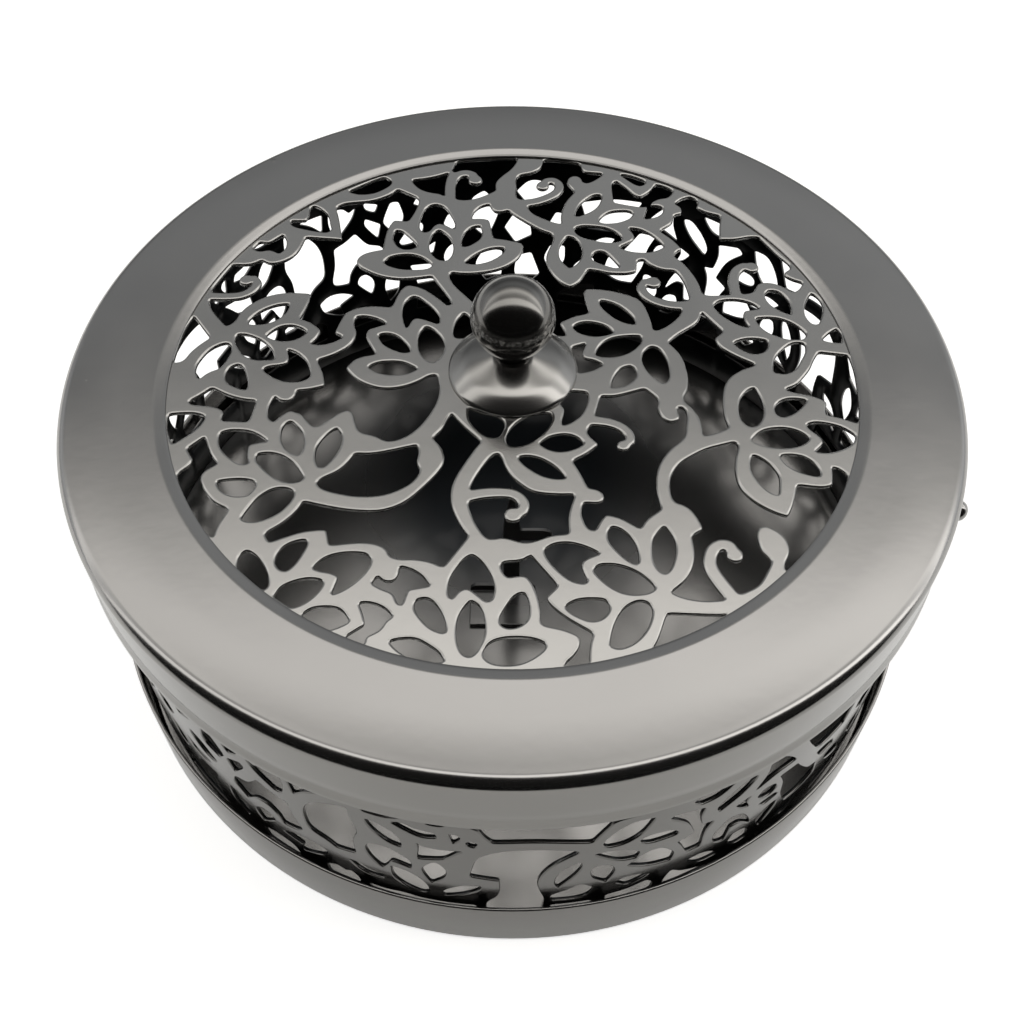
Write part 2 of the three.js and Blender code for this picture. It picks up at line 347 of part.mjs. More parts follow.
  [[-0.658, 0.082], [-0.674, 0.078], [-0.697, 0.059], [-0.711, 0.033], [-0.718, 0.009], [-0.716, -0.014],
    [-0.706, -0.032], [-0.694, -0.016], [-0.680, -0.005], [-0.666, 0.002], [-0.652, 0.031], [-0.646, 0.059],
    [-0.649, 0.075]],
  [[-0.240, 0.242], [-0.254, 0.226], [-0.261, 0.193], [-0.257, 0.159], [-0.248, 0.132], [-0.240, 0.154],
    [-0.232, 0.168], [-0.212, 0.165], [-0.190, 0.154], [-0.173, 0.148], [-0.172, 0.170], [-0.187, 0.198],
    [-0.207, 0.221], [-0.226, 0.238]],
  [[-0.116, 0.187], [-0.128, 0.170], [-0.137, 0.142], [-0.138, 0.112], [-0.133, 0.102], [-0.113, 0.103],
    [-0.098, 0.117], [-0.092, 0.142], [-0.100, 0.170]],
  [[-0.205, 0.141], [-0.216, 0.120], [-0.219, 0.086], [-0.212, 0.053], [-0.196, 0.030], [-0.182, 0.022],
    [-0.168, 0.036], [-0.158, 0.064], [-0.160, 0.092], [-0.176, 0.120], [-0.193, 0.136]],
  [[-0.314, 0.112], [-0.294, 0.117], [-0.271, 0.110], [-0.252, 0.092], [-0.238, 0.070], [-0.234, 0.056],
    [-0.254, 0.055], [-0.280, 0.067], [-0.302, 0.086]],
  [[-0.468, 0.082], [-0.444, 0.078], [-0.414, 0.088], [-0.392, 0.104], [-0.414, 0.117], [-0.412, 0.131],
    [-0.404, 0.159], [-0.394, 0.184], [-0.366, 0.201], [-0.333, 0.207], [-0.288, 0.204], [-0.268, 0.266],
    [-0.254, 0.281], [-0.226, 0.274], [-0.198, 0.254], [-0.170, 0.226], [-0.156, 0.210], [-0.145, 0.215],
    [-0.148, 0.226], [-0.196, 0.313], [-0.232, 0.306], [-0.271, 0.302], [-0.316, 0.310], [-0.350, 0.327],
    [-0.378, 0.350], [-0.384, 0.369], [-0.372, 0.389], [-0.344, 0.403], [-0.322, 0.408], [-0.320, 0.456],
    [-0.313, 0.495], [-0.302, 0.520], [-0.266, 0.515], [-0.254, 0.546], [-0.243, 0.590], [-0.244, 0.604],
    [-0.271, 0.624], [-0.300, 0.642], [-0.322, 0.618], [-0.361, 0.596], [-0.434, 0.582], [-0.453, 0.568],
    [-0.442, 0.529], [-0.426, 0.444], [-0.518, 0.453], [-0.523, 0.428], [-0.534, 0.394], [-0.551, 0.372],
    [-0.574, 0.358], [-0.596, 0.355], [-0.616, 0.368], [-0.641, 0.352], [-0.686, 0.350], [-0.705, 0.305],
    [-0.722, 0.260], [-0.722, 0.221], [-0.714, 0.198], [-0.700, 0.176], [-0.669, 0.137], [-0.652, 0.154],
    [-0.646, 0.176], [-0.630, 0.204], [-0.607, 0.226], [-0.579, 0.243], [-0.540, 0.252], [-0.484, 0.250],
    [-0.484, 0.226], [-0.490, 0.198], [-0.501, 0.162], [-0.478, 0.154], [-0.446, 0.126], [-0.456, 0.098]],
  [[-0.750, 0.170], [-0.701, 0.100], [-0.719, 0.081], [-0.739, 0.053], [-0.753, 0.025], [-0.772, 0.019],
    [-0.778, 0.039], [-0.772, 0.092], [-0.761, 0.137]],
  [[-0.640, 0.112], [-0.618, 0.110], [-0.590, 0.098], [-0.568, 0.081], [-0.551, 0.058], [-0.543, 0.030],
    [-0.568, 0.029], [-0.590, 0.030], [-0.616, 0.044], [-0.632, 0.067], [-0.642, 0.089]],
  [[-0.529, 0.214], [-0.557, 0.210], [-0.585, 0.196], [-0.607, 0.176], [-0.620, 0.154], [-0.618, 0.144],
    [-0.590, 0.144], [-0.562, 0.154], [-0.540, 0.176], [-0.532, 0.196]],
  [[-0.574, 0.106], [-0.557, 0.126], [-0.540, 0.138], [-0.515, 0.141], [-0.490, 0.131], [-0.477, 0.120],
    [-0.495, 0.100], [-0.520, 0.090], [-0.546, 0.092]],
  [[-0.574, 0.463], [-0.564, 0.439], [-0.564, 0.411], [-0.576, 0.390], [-0.596, 0.403], [-0.610, 0.403],
    [-0.624, 0.399], [-0.645, 0.408], [-0.630, 0.435], [-0.608, 0.429]],
  [[-0.509, 0.574], [-0.490, 0.562], [-0.470, 0.537], [-0.462, 0.506], [-0.457, 0.481], [-0.467, 0.470],
    [-0.501, 0.477], [-0.557, 0.498], [-0.562, 0.516], [-0.523, 0.515], [-0.518, 0.540], [-0.518, 0.565]],
  [[-0.338, 0.691], [-0.319, 0.677], [-0.319, 0.663], [-0.338, 0.641], [-0.366, 0.624], [-0.400, 0.621],
    [-0.428, 0.632], [-0.355, 0.683]],
  [[-0.266, 0.680], [-0.226, 0.688], [-0.193, 0.700], [-0.169, 0.712], [-0.176, 0.686], [-0.179, 0.652],
    [-0.178, 0.614], [-0.187, 0.623], [-0.215, 0.630], [-0.238, 0.641], [-0.254, 0.658]],
  [[-0.151, 0.770], [-0.154, 0.747], [-0.162, 0.719], [-0.148, 0.705], [-0.150, 0.652], [-0.148, 0.603],
    [-0.126, 0.600], [-0.092, 0.609], [-0.047, 0.638], [-0.047, 0.672], [-0.035, 0.694], [-0.008, 0.728],
    [0.006, 0.758], [0.009, 0.775]],
  [[-0.204, 0.582], [-0.222, 0.568], [-0.231, 0.543], [-0.236, 0.515], [-0.235, 0.490], [-0.225, 0.472],
    [-0.212, 0.477], [-0.201, 0.498], [-0.187, 0.509], [-0.170, 0.501], [-0.148, 0.485], [-0.148, 0.512],
    [-0.156, 0.534], [-0.173, 0.568], [-0.188, 0.579]],
  [[-0.187, 0.484], [-0.200, 0.470], [-0.208, 0.439], [-0.207, 0.411], [-0.196, 0.386], [-0.179, 0.370],
    [-0.162, 0.369], [-0.152, 0.389], [-0.149, 0.422], [-0.156, 0.450], [-0.170, 0.470]],
  [[-0.296, 0.481], [-0.280, 0.478], [-0.243, 0.434], [-0.236, 0.420], [-0.254, 0.410], [-0.277, 0.412],
    [-0.294, 0.434], [-0.300, 0.456]],
  [[-0.319, 0.362], [-0.305, 0.380], [-0.280, 0.389], [-0.249, 0.390], [-0.224, 0.380], [-0.196, 0.355],
    [-0.207, 0.341], [-0.238, 0.336], [-0.274, 0.338], [-0.305, 0.350]],
  [[-0.082, 0.500], [-0.103, 0.495], [-0.120, 0.476], [-0.128, 0.450], [-0.128, 0.420], [-0.114, 0.422],
    [-0.098, 0.434], [-0.084, 0.450], [-0.078, 0.473]],
  [[-0.020, 0.417], [-0.047, 0.417], [-0.075, 0.406], [-0.100, 0.386], [-0.121, 0.361], [-0.100, 0.356],
    [-0.067, 0.364], [-0.042, 0.380], [-0.025, 0.400]],
];

// Curls that stand in the openings: width at the root and at the end, radius of the bud,
// then the points that the curl runs through.
const panel_curl_shares = [
  [0.029, 0.022, 0.017, [0.014, 0.588], [0.053, 0.595], [0.089, 0.613], [0.114, 0.638], [0.117, 0.669],
    [0.100, 0.683], [0.081, 0.677], [0.075, 0.660]],
  [0.025, 0.022, 0.018, [-0.730, 0.240], [-0.686, 0.238], [-0.646, 0.244], [-0.623, 0.266], [-0.617, 0.291],
    [-0.630, 0.305], [-0.644, 0.296]],
  [0.027, 0.025, 0.019, [-0.164, 0.596], [-0.164, 0.635], [-0.161, 0.674], [-0.148, 0.702], [-0.123, 0.711],
    [-0.103, 0.700], [-0.100, 0.683]],
  [0.027, 0.025, 0.018, [0.534, 0.249], [0.532, 0.299], [0.540, 0.333], [0.560, 0.354], [0.582, 0.351]],
  [0.029, 0.022, 0.019, [0.428, 0.218], [0.383, 0.216], [0.344, 0.228], [0.316, 0.252], [0.308, 0.282],
    [0.319, 0.299], [0.338, 0.296]],
  [0.027, 0.020, 0.015, [0.168, -0.148], [0.204, -0.152], [0.235, -0.165], [0.254, -0.187], [0.254, -0.210],
    [0.239, -0.220]],
  [0.029, 0.022, 0.019, [-0.098, -0.361], [-0.059, -0.352], [-0.020, -0.350], [0.008, -0.356],
    [0.025, -0.378], [0.020, -0.400], [0.002, -0.408]],
  [0.031, 0.025, 0.018, [0.439, -0.616], [0.411, -0.568], [0.397, -0.532], [0.403, -0.498], [0.422, -0.480],
    [0.445, -0.487], [0.449, -0.506]],
];

// The wall repeats these openings. Each is a ring of points: degrees round from the front's
// middle, and the height from the lid panel down in wall units.
const wall_repeats = 3;
const wall_opening_shares = [
  [[-19.1, -0.252], [-21.2, -0.268], [-23.1, -0.290], [-24.5, -0.322], [-25.4, -0.366], [-25.6, -0.420],
    [-25.2, -0.462], [-23.2, -0.485], [-22.0, -0.507], [-19.3, -0.497], [-19.2, -0.420], [-18.4, -0.365],
    [-18.8, -0.310]],
  [[-26.6, -0.235], [-22.2, -0.232], [-24.5, -0.262], [-26.2, -0.297]],
  [[-17.1, -0.226], [-12.0, -0.226], [-14.2, -0.244], [-17.0, -0.244]],
  [[-9.6, -0.224], [-7.1, -0.224], [-7.7, -0.237], [-9.5, -0.237]],
  [[-16.9, -0.279], [-15.5, -0.285], [-13.8, -0.312], [-13.0, -0.345], [-12.9, -0.385], [-14.4, -0.373],
    [-15.9, -0.340], [-16.8, -0.300]],
  [[-13.8, -0.262], [-12.4, -0.254], [-11.0, -0.269], [-8.8, -0.276], [-8.3, -0.300], [-10.2, -0.308],
    [-11.8, -0.292]],
  [[-7.0, -0.269], [-6.0, -0.275], [-5.7, -0.291], [-6.6, -0.318]],
  [[-5.2, -0.317], [-4.9, -0.303], [-4.2, -0.298], [-3.7, -0.312], [-4.2, -0.331]],
  [[-10.9, -0.340], [-10.4, -0.357], [-8.0, -0.360], [-5.4, -0.353], [-6.5, -0.375], [-7.3, -0.395],
    [-8.0, -0.410], [-11.1, -0.430], [-10.8, -0.370]],
  [[-17.7, -0.451], [-17.3, -0.420], [-16.5, -0.404], [-14.6, -0.407], [-13.3, -0.426], [-12.2, -0.451],
    [-12.1, -0.495], [-13.5, -0.482], [-14.6, -0.476], [-15.1, -0.501], [-15.9, -0.531], [-16.9, -0.507]],
  [[-9.0, -0.432], [-8.1, -0.455], [-7.8, -0.487], [-8.2, -0.520], [-9.8, -0.560], [-10.5, -0.520],
    [-10.7, -0.485], [-10.0, -0.455]],
  [[-14.7, -0.505], [-12.8, -0.515], [-11.2, -0.545], [-10.3, -0.585], [-10.3, -0.622], [-11.2, -0.632],
    [-13.4, -0.605], [-14.6, -0.570]],
  [[-8.4, -0.630], [-8.4, -0.600], [-6.0, -0.552], [-3.7, -0.540], [-3.8, -0.564], [-5.2, -0.595],
    [-7.0, -0.618]],
  [[-20.5, -0.548], [-19.4, -0.548], [-18.0, -0.567], [-16.0, -0.576], [-16.0, -0.597], [-18.0, -0.600],
    [-19.5, -0.583]],
  [[-4.8, -0.205], [-4.6, -0.228], [-3.6, -0.240], [-2.8, -0.275], [-2.0, -0.300], [1.5, -0.296],
    [4.0, -0.300], [7.0, -0.315], [9.5, -0.327], [10.2, -0.300], [11.0, -0.270], [12.0, -0.240],
    [15.0, -0.230], [15.0, -0.205]],
  [[0.0, -0.338], [-2.0, -0.355], [-3.6, -0.382], [-4.2, -0.430], [-4.9, -0.492], [-1.3, -0.508],
    [-1.2, -0.560], [-1.6, -0.600], [-2.8, -0.640], [-3.0, -0.700], [4.0, -0.700], [4.2, -0.620],
    [3.6, -0.570], [3.3, -0.520], [3.8, -0.475], [5.0, -0.430], [6.6, -0.397], [8.2, -0.370],
    [7.2, -0.357], [3.6, -0.338]],
  [[-24.3, -0.645], [-22.6, -0.618], [-21.5, -0.635], [-20.7, -0.620], [-19.8, -0.650], [-19.9, -0.700],
    [-24.3, -0.700]],
  [[-18.4, -0.660], [-16.0, -0.662], [-13.5, -0.656], [-11.5, -0.664], [-4.4, -0.664], [-4.2, -0.700],
    [-18.4, -0.700]],
  [[-30.4, -0.571], [-27.9, -0.544], [-25.4, -0.537], [-23.6, -0.552], [-24.3, -0.590], [-26.1, -0.617],
    [-28.0, -0.636], [-27.4, -0.592]],
  [[-34.4, -0.557], [-34.0, -0.526], [-32.9, -0.504], [-31.8, -0.507], [-31.3, -0.530], [-32.2, -0.557],
    [-33.8, -0.592]],
  [[-31.9, -0.341], [-30.0, -0.360], [-27.8, -0.371], [-27.6, -0.430], [-26.8, -0.494], [-27.4, -0.510],
    [-29.8, -0.522], [-30.2, -0.490], [-31.5, -0.458], [-33.2, -0.460], [-35.4, -0.505], [-37.2, -0.460],
    [-36.2, -0.416], [-34.0, -0.395]],
  [[-32.6, -0.250], [-31.3, -0.263], [-30.2, -0.241], [-27.7, -0.238], [-27.5, -0.275], [-28.1, -0.329],
    [-29.2, -0.335], [-31.8, -0.285]],
  [[-34.0, -0.300], [-33.8, -0.319], [-34.7, -0.351], [-36.0, -0.384], [-36.7, -0.335]],
  [[-40.1, -0.269], [-38.7, -0.266], [-37.6, -0.307], [-37.2, -0.332], [-38.3, -0.366], [-40.5, -0.350],
    [-40.8, -0.325]],
  [[-43.9, -0.360], [-41.9, -0.370], [-39.6, -0.418], [-40.2, -0.436], [-42.4, -0.432], [-44.1, -0.385]],
  [[-38.5, -0.514], [-37.1, -0.532], [-36.3, -0.576], [-37.0, -0.642], [-38.6, -0.610], [-39.1, -0.550]],
  [[-45.0, -0.526], [-41.2, -0.517], [-42.0, -0.560], [-42.4, -0.608], [-41.8, -0.700], [-50.5, -0.700],
    [-49.2, -0.635], [-45.9, -0.576]],
  [[-50.4, -0.450], [-48.4, -0.470], [-47.5, -0.505], [-47.9, -0.542], [-49.8, -0.520]],
  [[-51.0, -0.352], [-48.6, -0.345], [-47.7, -0.380], [-48.8, -0.410], [-50.6, -0.395]],
  [[-46.0, -0.285], [-43.6, -0.262], [-42.6, -0.290], [-45.2, -0.318]],
  [[-46.2, -0.440], [-44.0, -0.462], [-41.5, -0.470], [-42.5, -0.490], [-45.6, -0.486]],
  [[-36.6, -0.262], [-34.0, -0.244], [-34.3, -0.268], [-35.9, -0.290]],
  [[-34.6, -0.646], [-32.6, -0.622], [-29.6, -0.630], [-28.8, -0.655], [-29.0, -0.700], [-34.2, -0.700]],
  [[10.9, -0.351], [11.3, -0.322], [12.6, -0.285], [14.2, -0.263], [16.8, -0.266], [16.2, -0.300],
    [15.3, -0.338], [13.5, -0.366], [11.5, -0.369]],
  [[15.6, -0.363], [16.5, -0.356], [19.2, -0.363], [20.5, -0.391], [20.2, -0.400], [16.7, -0.398],
    [15.6, -0.382]],
  [[18.7, -0.300], [19.6, -0.286], [23.4, -0.310], [23.1, -0.350], [23.6, -0.400], [25.4, -0.408],
    [24.5, -0.445], [24.4, -0.530], [22.5, -0.530], [21.5, -0.480], [20.7, -0.447], [22.9, -0.428],
    [21.4, -0.357]],
  [[21.4, -0.257], [22.4, -0.240], [26.8, -0.235], [26.1, -0.257], [24.6, -0.279], [22.6, -0.282]],
  [[29.0, -0.266], [30.2, -0.269], [30.0, -0.288], [28.6, -0.326], [25.7, -0.369], [25.3, -0.344],
    [26.1, -0.313], [27.5, -0.285]],
  [[32.0, -0.247], [33.1, -0.247], [35.1, -0.282], [36.9, -0.330], [34.0, -0.332], [30.8, -0.357],
    [32.0, -0.300]],
  [[28.2, -0.388], [30.4, -0.372], [29.9, -0.395], [30.6, -0.432], [29.4, -0.418]],
  [[32.6, -0.383], [34.2, -0.395], [35.0, -0.425], [34.0, -0.443], [32.4, -0.430], [31.8, -0.405]],
  [[32.4, -0.462], [34.8, -0.455], [35.9, -0.476], [33.6, -0.488]],
  [[34.8, -0.366], [37.6, -0.368], [39.0, -0.413], [41.2, -0.470], [42.6, -0.482], [43.6, -0.550],
    [41.0, -0.573], [38.3, -0.570], [36.6, -0.490], [36.0, -0.420]],
  [[37.8, -0.257], [43.0, -0.270], [48.4, -0.300], [47.7, -0.338], [47.0, -0.392], [41.9, -0.382],
    [40.0, -0.335]],
  [[41.9, -0.412], [43.7, -0.415], [45.4, -0.435], [46.2, -0.463], [43.4, -0.463]],
  [[45.5, -0.501], [47.0, -0.507], [48.8, -0.539], [49.8, -0.589], [48.0, -0.576], [45.5, -0.530]],
  [[35.1, -0.515], [36.1, -0.520], [36.2, -0.551], [34.4, -0.622], [33.4, -0.575], [34.0, -0.532]],
  [[26.2, -0.520], [26.4, -0.482], [27.9, -0.440], [29.7, -0.457], [31.1, -0.501], [32.0, -0.549],
    [30.0, -0.507], [28.6, -0.505], [28.2, -0.568], [26.9, -0.555]],
  [[29.7, -0.560], [31.1, -0.566], [32.2, -0.595], [32.6, -0.645], [30.6, -0.642], [29.2, -0.605]],
  [[23.2, -0.585], [25.0, -0.583], [26.8, -0.608], [28.0, -0.645], [25.4, -0.642], [23.6, -0.612]],
  [[8.4, -0.423], [8.6, -0.451], [7.9, -0.495], [5.9, -0.561], [5.5, -0.530], [5.9, -0.480], [7.0, -0.445]],
  [[10.4, -0.460], [11.9, -0.467], [12.8, -0.500], [12.7, -0.530], [12.0, -0.568], [10.4, -0.535],
    [9.9, -0.490]],
  [[9.9, -0.393], [12.4, -0.391], [14.2, -0.407], [15.6, -0.432], [15.5, -0.465], [13.5, -0.457],
    [11.8, -0.432]],
  [[14.4, -0.498], [15.3, -0.476], [16.7, -0.448], [18.2, -0.445], [19.6, -0.472], [20.5, -0.505],
    [20.4, -0.545], [17.4, -0.532]],
  [[13.1, -0.582], [14.4, -0.565], [16.0, -0.567], [17.8, -0.583], [16.6, -0.603], [14.9, -0.618]],
  [[5.2, -0.603], [6.9, -0.580], [8.8, -0.552], [10.6, -0.590], [9.9, -0.628], [8.6, -0.642], [5.2, -0.640]],
  [[5.2, -0.662], [10.4, -0.664], [10.4, -0.700], [5.2, -0.700]],
  [[12.3, -0.650], [15.0, -0.642], [17.6, -0.622], [18.6, -0.655], [18.4, -0.700], [12.3, -0.700]],
  [[21.0, -0.612], [22.3, -0.640], [25.5, -0.672], [28.6, -0.700], [20.2, -0.700], [20.2, -0.655]],
  [[37.2, -0.645], [38.6, -0.612], [41.6, -0.605], [41.0, -0.640], [39.0, -0.668]],
  [[45.0, -0.608], [48.6, -0.620], [51.0, -0.650], [52.0, -0.700], [45.2, -0.700]],
  [[50.2, -0.350], [52.6, -0.345], [54.0, -0.400], [52.0, -0.440], [50.0, -0.400]],
  [[50.8, -0.470], [53.4, -0.472], [54.4, -0.530], [52.6, -0.580], [50.9, -0.530]],
  [[52.2, -0.250], [57.0, -0.235], [59.5, -0.275], [57.5, -0.325], [53.4, -0.312]],
  [[57.2, -0.378], [60.0, -0.360], [61.6, -0.410], [59.6, -0.470], [56.8, -0.440]],
  [[62.6, -0.330], [65.0, -0.270], [67.2, -0.300], [67.0, -0.400], [64.6, -0.450]],
  [[56.8, -0.505], [59.4, -0.520], [59.6, -0.600], [57.4, -0.635], [55.2, -0.590]],
  [[62.0, -0.500], [65.2, -0.490], [66.8, -0.550], [65.0, -0.620], [62.2, -0.600]],
];

// Materials
const coating = new THREE.MeshStandardMaterial({ color: 0x4b4a48, roughness: 0.28, metalness: 0.9 });
const coated_panel = new THREE.MeshStandardMaterial({ color: 0x55534f, roughness: 0.3, metalness: 0.9 });
const coated_wall = new THREE.MeshStandardMaterial({ color: 0x46443f, roughness: 0.3, metalness: 0.9 });
const polished_knob = new THREE.MeshStandardMaterial({ color: 0x2b2a29, roughness: 0.15, metalness: 0.9 });
const plated_screw = new THREE.MeshStandardMaterial({ color: 0x8d8c88, roughness: 0.35, metalness: 1.0 });

// A closed geometry becomes a solid: equal corners merged, flat triangles dropped, faces out
function solid(geometry) {
  const bare = geometry.index ? geometry.toNonIndexed() : geometry.clone();
  bare.deleteAttribute('normal');
  bare.deleteAttribute('uv');
  const merged = mergeVertices(bare);
  const corners = merged.attributes.position.array;
  const kept = [];
  let volume = 0;
  for (let i = 0; i < merged.index.count; i += 3) {
    const [a, b, c] = [0, 1, 2].map((k) => merged.index.array[i + k]);
    if (a === b || b === c || c === a) continue;
    kept.push(a, b, c);
    const [p, q, r] = [a, b, c].map((k) => new THREE.Vector3().fromArray(corners, 3 * k));
    volume += p.dot(q.cross(r));
  }
  if (volume < 0) kept.reverse();
  const mesh = new wasm.Mesh({
    numProp: 3,
    vertProperties: new Float32Array(corners),
    triVerts: new Uint32Array(kept),
  });
  return new wasm.Manifold(mesh);
}

// A solid becomes a named mesh
function named(name, body, material) {
  const mesh = body.getMesh();
  const geometry = new THREE.BufferGeometry();
  geometry.setAttribute('position', new THREE.BufferAttribute(new Float32Array(mesh.vertProperties), 3));
  geometry.setIndex(new THREE.BufferAttribute(new Uint32Array(mesh.triVerts), 1));
  geometry.computeVertexNormals();
  const result = new THREE.Mesh(geometry, material);
  result.name = name;
  return result;
}

// A solid of revolution about Z from a closed profile of [radius, height] points
function turned(profile, steps) {
  const points = profile.map(([radius, height]) => new THREE.Vector2(radius, height));
  points.push(points[0].clone());
  const geometry = new THREE.LatheGeometry(points, steps);
  geometry.rotateX(Math.PI / 2);
  return solid(geometry);
}

// Points of an arc in a profile, from one angle to another in degrees
function arc(centre_x, centre_y, radius, from, to, steps) {
  const points = [];
  for (let i = 0; i <= steps; i += 1) {
    const angle = THREE.MathUtils.degToRad(from + ((to - from) * i) / steps);
    points.push([centre_x + radius * Math.cos(angle), centre_y + radius * Math.sin(angle)]);
  }
  return points;
}

// A prism over an outline, whose corners go where place puts (x, y, share of the depth)
function prism(outline, place) {
  const shape = new THREE.Shape(outline.map(([x, y]) => new THREE.Vector2(x, y)));
  const geometry = new THREE.ExtrudeGeometry(shape, { depth: 1, bevelEnabled: false });
  const corners = geometry.attributes.position;
  for (let i = 0; i < corners.count; i += 1) {
    const spot = place(corners.getX(i), corners.getY(i), corners.getZ(i));
    corners.setXYZ(i, spot.x, spot.y, spot.z);
  }
  return solid(geometry);
}

// A flat plate between two heights
function plate(outline, low, high) {
  return prism(outline, (x, y, share) => new THREE.Vector3(x, y, low + (high - low) * share));
}

// Outline of a curl along a smooth line, narrower towards its end
function curlOutline(root_width, end_width, line) {
  const curve = new THREE.SplineCurve(line);
  const steps = Math.ceil(curve.getLength() / curl_step_share);
  const right = [];
  const left = [];
  for (let i = 0; i <= steps; i += 1) {
    const share = i / steps;
    const point = curve.getPointAt(share);
    const along = curve.getTangentAt(share);
    const half = (root_width + (end_width - root_width) * share) / 2;
    right.push([point.x + along.y * half, point.y - along.x * half]);
    left.push([point.x - along.y * half, point.y + along.x * half]);
  }
  return [...right, ...left.reverse()];
}

// Base pan: a floor with an upright ring round it
function basePan() {
  const inner = pan_radius - pan_sheet;
  const corner = arc(pan_radius - pan_corner, pan_corner, pan_corner, -90, 0, bend_steps);
  const profile = [
    [0, 0],
    ...corner,
    [pan_radius, pan_ring_height],
    [inner, pan_ring_height],
    [inner, pan_floor_sheet],
    [0, pan_floor_sheet],
  ];
  return turned(profile, big_steps);
}

// Direction outwards from the axis at an angle in degrees
function wallDirection(degrees) {
  const angle = THREE.MathUtils.degToRad(degrees);
  return new THREE.Vector3(Math.cos(angle), Math.sin(angle), 0);
}

// Wall strip: a rolled sheet with its openings cut through
function wallStrip() {
  const inner = wall_radius - wall_sheet;
  const tube = turned([
    [inner, wall_foot],
    [wall_radius, wall_foot],
    [wall_radius, wall_head],
    [inner, wall_head],
  ], big_steps);
  let cut = null;
  for (let copy = 0; copy < wall_repeats; copy += 1) {
    const turn = front_angle + (copy * 360) / wall_repeats;
    for (const opening of wall_opening_shares) {
      const middle = opening.reduce((sum, [degrees]) => sum + degrees, 0) / opening.length;
      const inward = wallDirection(turn + middle).multiplyScalar(-wall_sheet - 2 * overrun);
      const place = (degrees, height, share) => (
        wallDirection(turn + degrees)
          .multiplyScalar(wall_radius)
          .setZ(panel_top + height * wall_unit)
          .addScaledVector(inward, share - 1 / 2));
      const hole = prism(opening, place);
      cut = cut ? cut.add(hole) : hole;
    }
  }
  return tube.subtract(cut);
}

// Top band: a ring inside the wall's head, that the lid rests on
function topBand() {
  const outer = wall_radius - wall_sheet - cut_gap;
  const inner = outer - band_sheet;
  return turned([
    [inner, band_head - band_drop],
    [outer, band_head - band_drop],
    [outer, band_head],
    [inner, band_head],
  ], big_steps);
}

// Coil stand: a foot, a low upright lip, a pointed tongue and a side tab, bent from one sheet
function coilStand() {
  const floor = wall_foot;
  const back = foot_length - foot_front;
  const upright = (outline, near, far) => prism(outline, (x, y, share) => (
    new THREE.Vector3(x, far + (near - far) * share, floor + y)));
  const foot = plate([
    [-foot_left, -foot_front],
    [foot_right, -foot_front],
    [foot_right, back],
    [-foot_left, back],
  ], floor, floor + stand_sheet);
  const lip = upright([
    [-foot_left, 0],
    [foot_right, 0],
    [foot_right - lip_height / 2, lip_height],
    [-foot_left + lip_height / 2, lip_height],
  ], back - stand_sheet, back);
  const tongue = upright([
    [-tongue_width / 2, 0],
    [tongue_width / 2, 0],
    [tongue_width / 2, tongue_height],
    [0, tip_height],
    [-tongue_width / 2, tongue_height],
  ], back - stand_sheet, back);
  const tab_low = tongue_height - tab_drop - tab_height;
  const tab_round = tab_height / 2;
  const tab_end = arc(tab_length - tab_round, tab_low + tab_round, tab_round, -90, 90, bend_steps);
  const tab = upright([
    [0, tab_low],
    ...tab_end,
    [0, tab_low + tab_height],
  ], back - stand_sheet, back);
  return foot.add(lip).add(tongue).add(tab);
}

// Lid rim: a flat ring with a soft inner step, a round shoulder and a hemmed skirt
function lidRim() {
  const shoulder_radius = rim_radius - rim_shoulder;
  const shoulder_height = rim_top - rim_shoulder;
  const skirt_radius = rim_radius + rim_flare;
  const hem_top = rim_top - skirt_height;
  const foot = hem_top - hem_height;
  const profile = [
    [rim_inner_radius, rim_under],
    [rim_inner_radius, rim_under + rim_sheet / 4],
    [(rim_inner_radius + rim_flat_inner_radius) / 2, rim_top - rim_sheet / 4],
    [rim_flat_inner_radius, rim_top],
    ...arc(shoulder_radius, shoulder_height, rim_shoulder, 90, 0, bend_steps),
    [skirt_radius, hem_top],
    [skirt_radius + hem_proud, hem_top - hem_height / 3],
    [skirt_radius + hem_proud, foot + hem_height / 3],
    [skirt_radius, foot],
    [skirt_radius - rim_sheet, foot],
    ...arc(shoulder_radius, shoulder_height, rim_shoulder - rim_sheet, 0, 90, bend_steps),
  ];
  const hole = studShank(stud_shank_radius + seat_gap);
  return turned(profile, big_steps).subtract(hole);
}

// Lid panel: a cut-out disc with a whole hub, seated under the rim's inner edge
function lidPanel() {
  const low = panel_under - overrun;
  const high = panel_top + overrun;
  const place = (x, y, share) => (
    new THREE.Vector3(x * panel_unit, y * panel_unit, low + (high - low) * share));
  let cut = null;
  for (const opening of panel_opening_shares) {
    const hole = prism(opening, place);
    cut = cut ? cut.add(hole) : hole;
  }
  for (const [root_width, end_width, bud, ...route] of panel_curl_shares) {
    const line = route.map(([x, y]) => new THREE.Vector2(x, y));
    const end = line[line.length - 1];
    cut = cut.subtract(prism(curlOutline(root_width, end_width, line), place));
    cut = cut.subtract(prism(arc(end.x, end.y, bud, 0, 360, bud_steps).slice(1), place));
  }
  const open_field = turned([
    [0, low],
    [rim_inner_radius, low],
    [rim_inner_radius, high],
    [0, high],
  ], big_steps);
  const hub = turned([[0, low], [hub_radius, low], [hub_radius, high], [0, high]], small_steps);
  const bore_radius = screw_radius + cut_gap;
  const bore = turned([[0, low], [bore_radius, low], [bore_radius, high], [0, high]], small_steps);
  const disc = turned([
    [0, panel_under],
    [panel_radius, panel_under],
    [panel_radius, panel_top],
    [0, panel_top],
  ], big_steps);
  return disc.subtract(cut.intersect(open_field).subtract(hub)).subtract(bore);
}

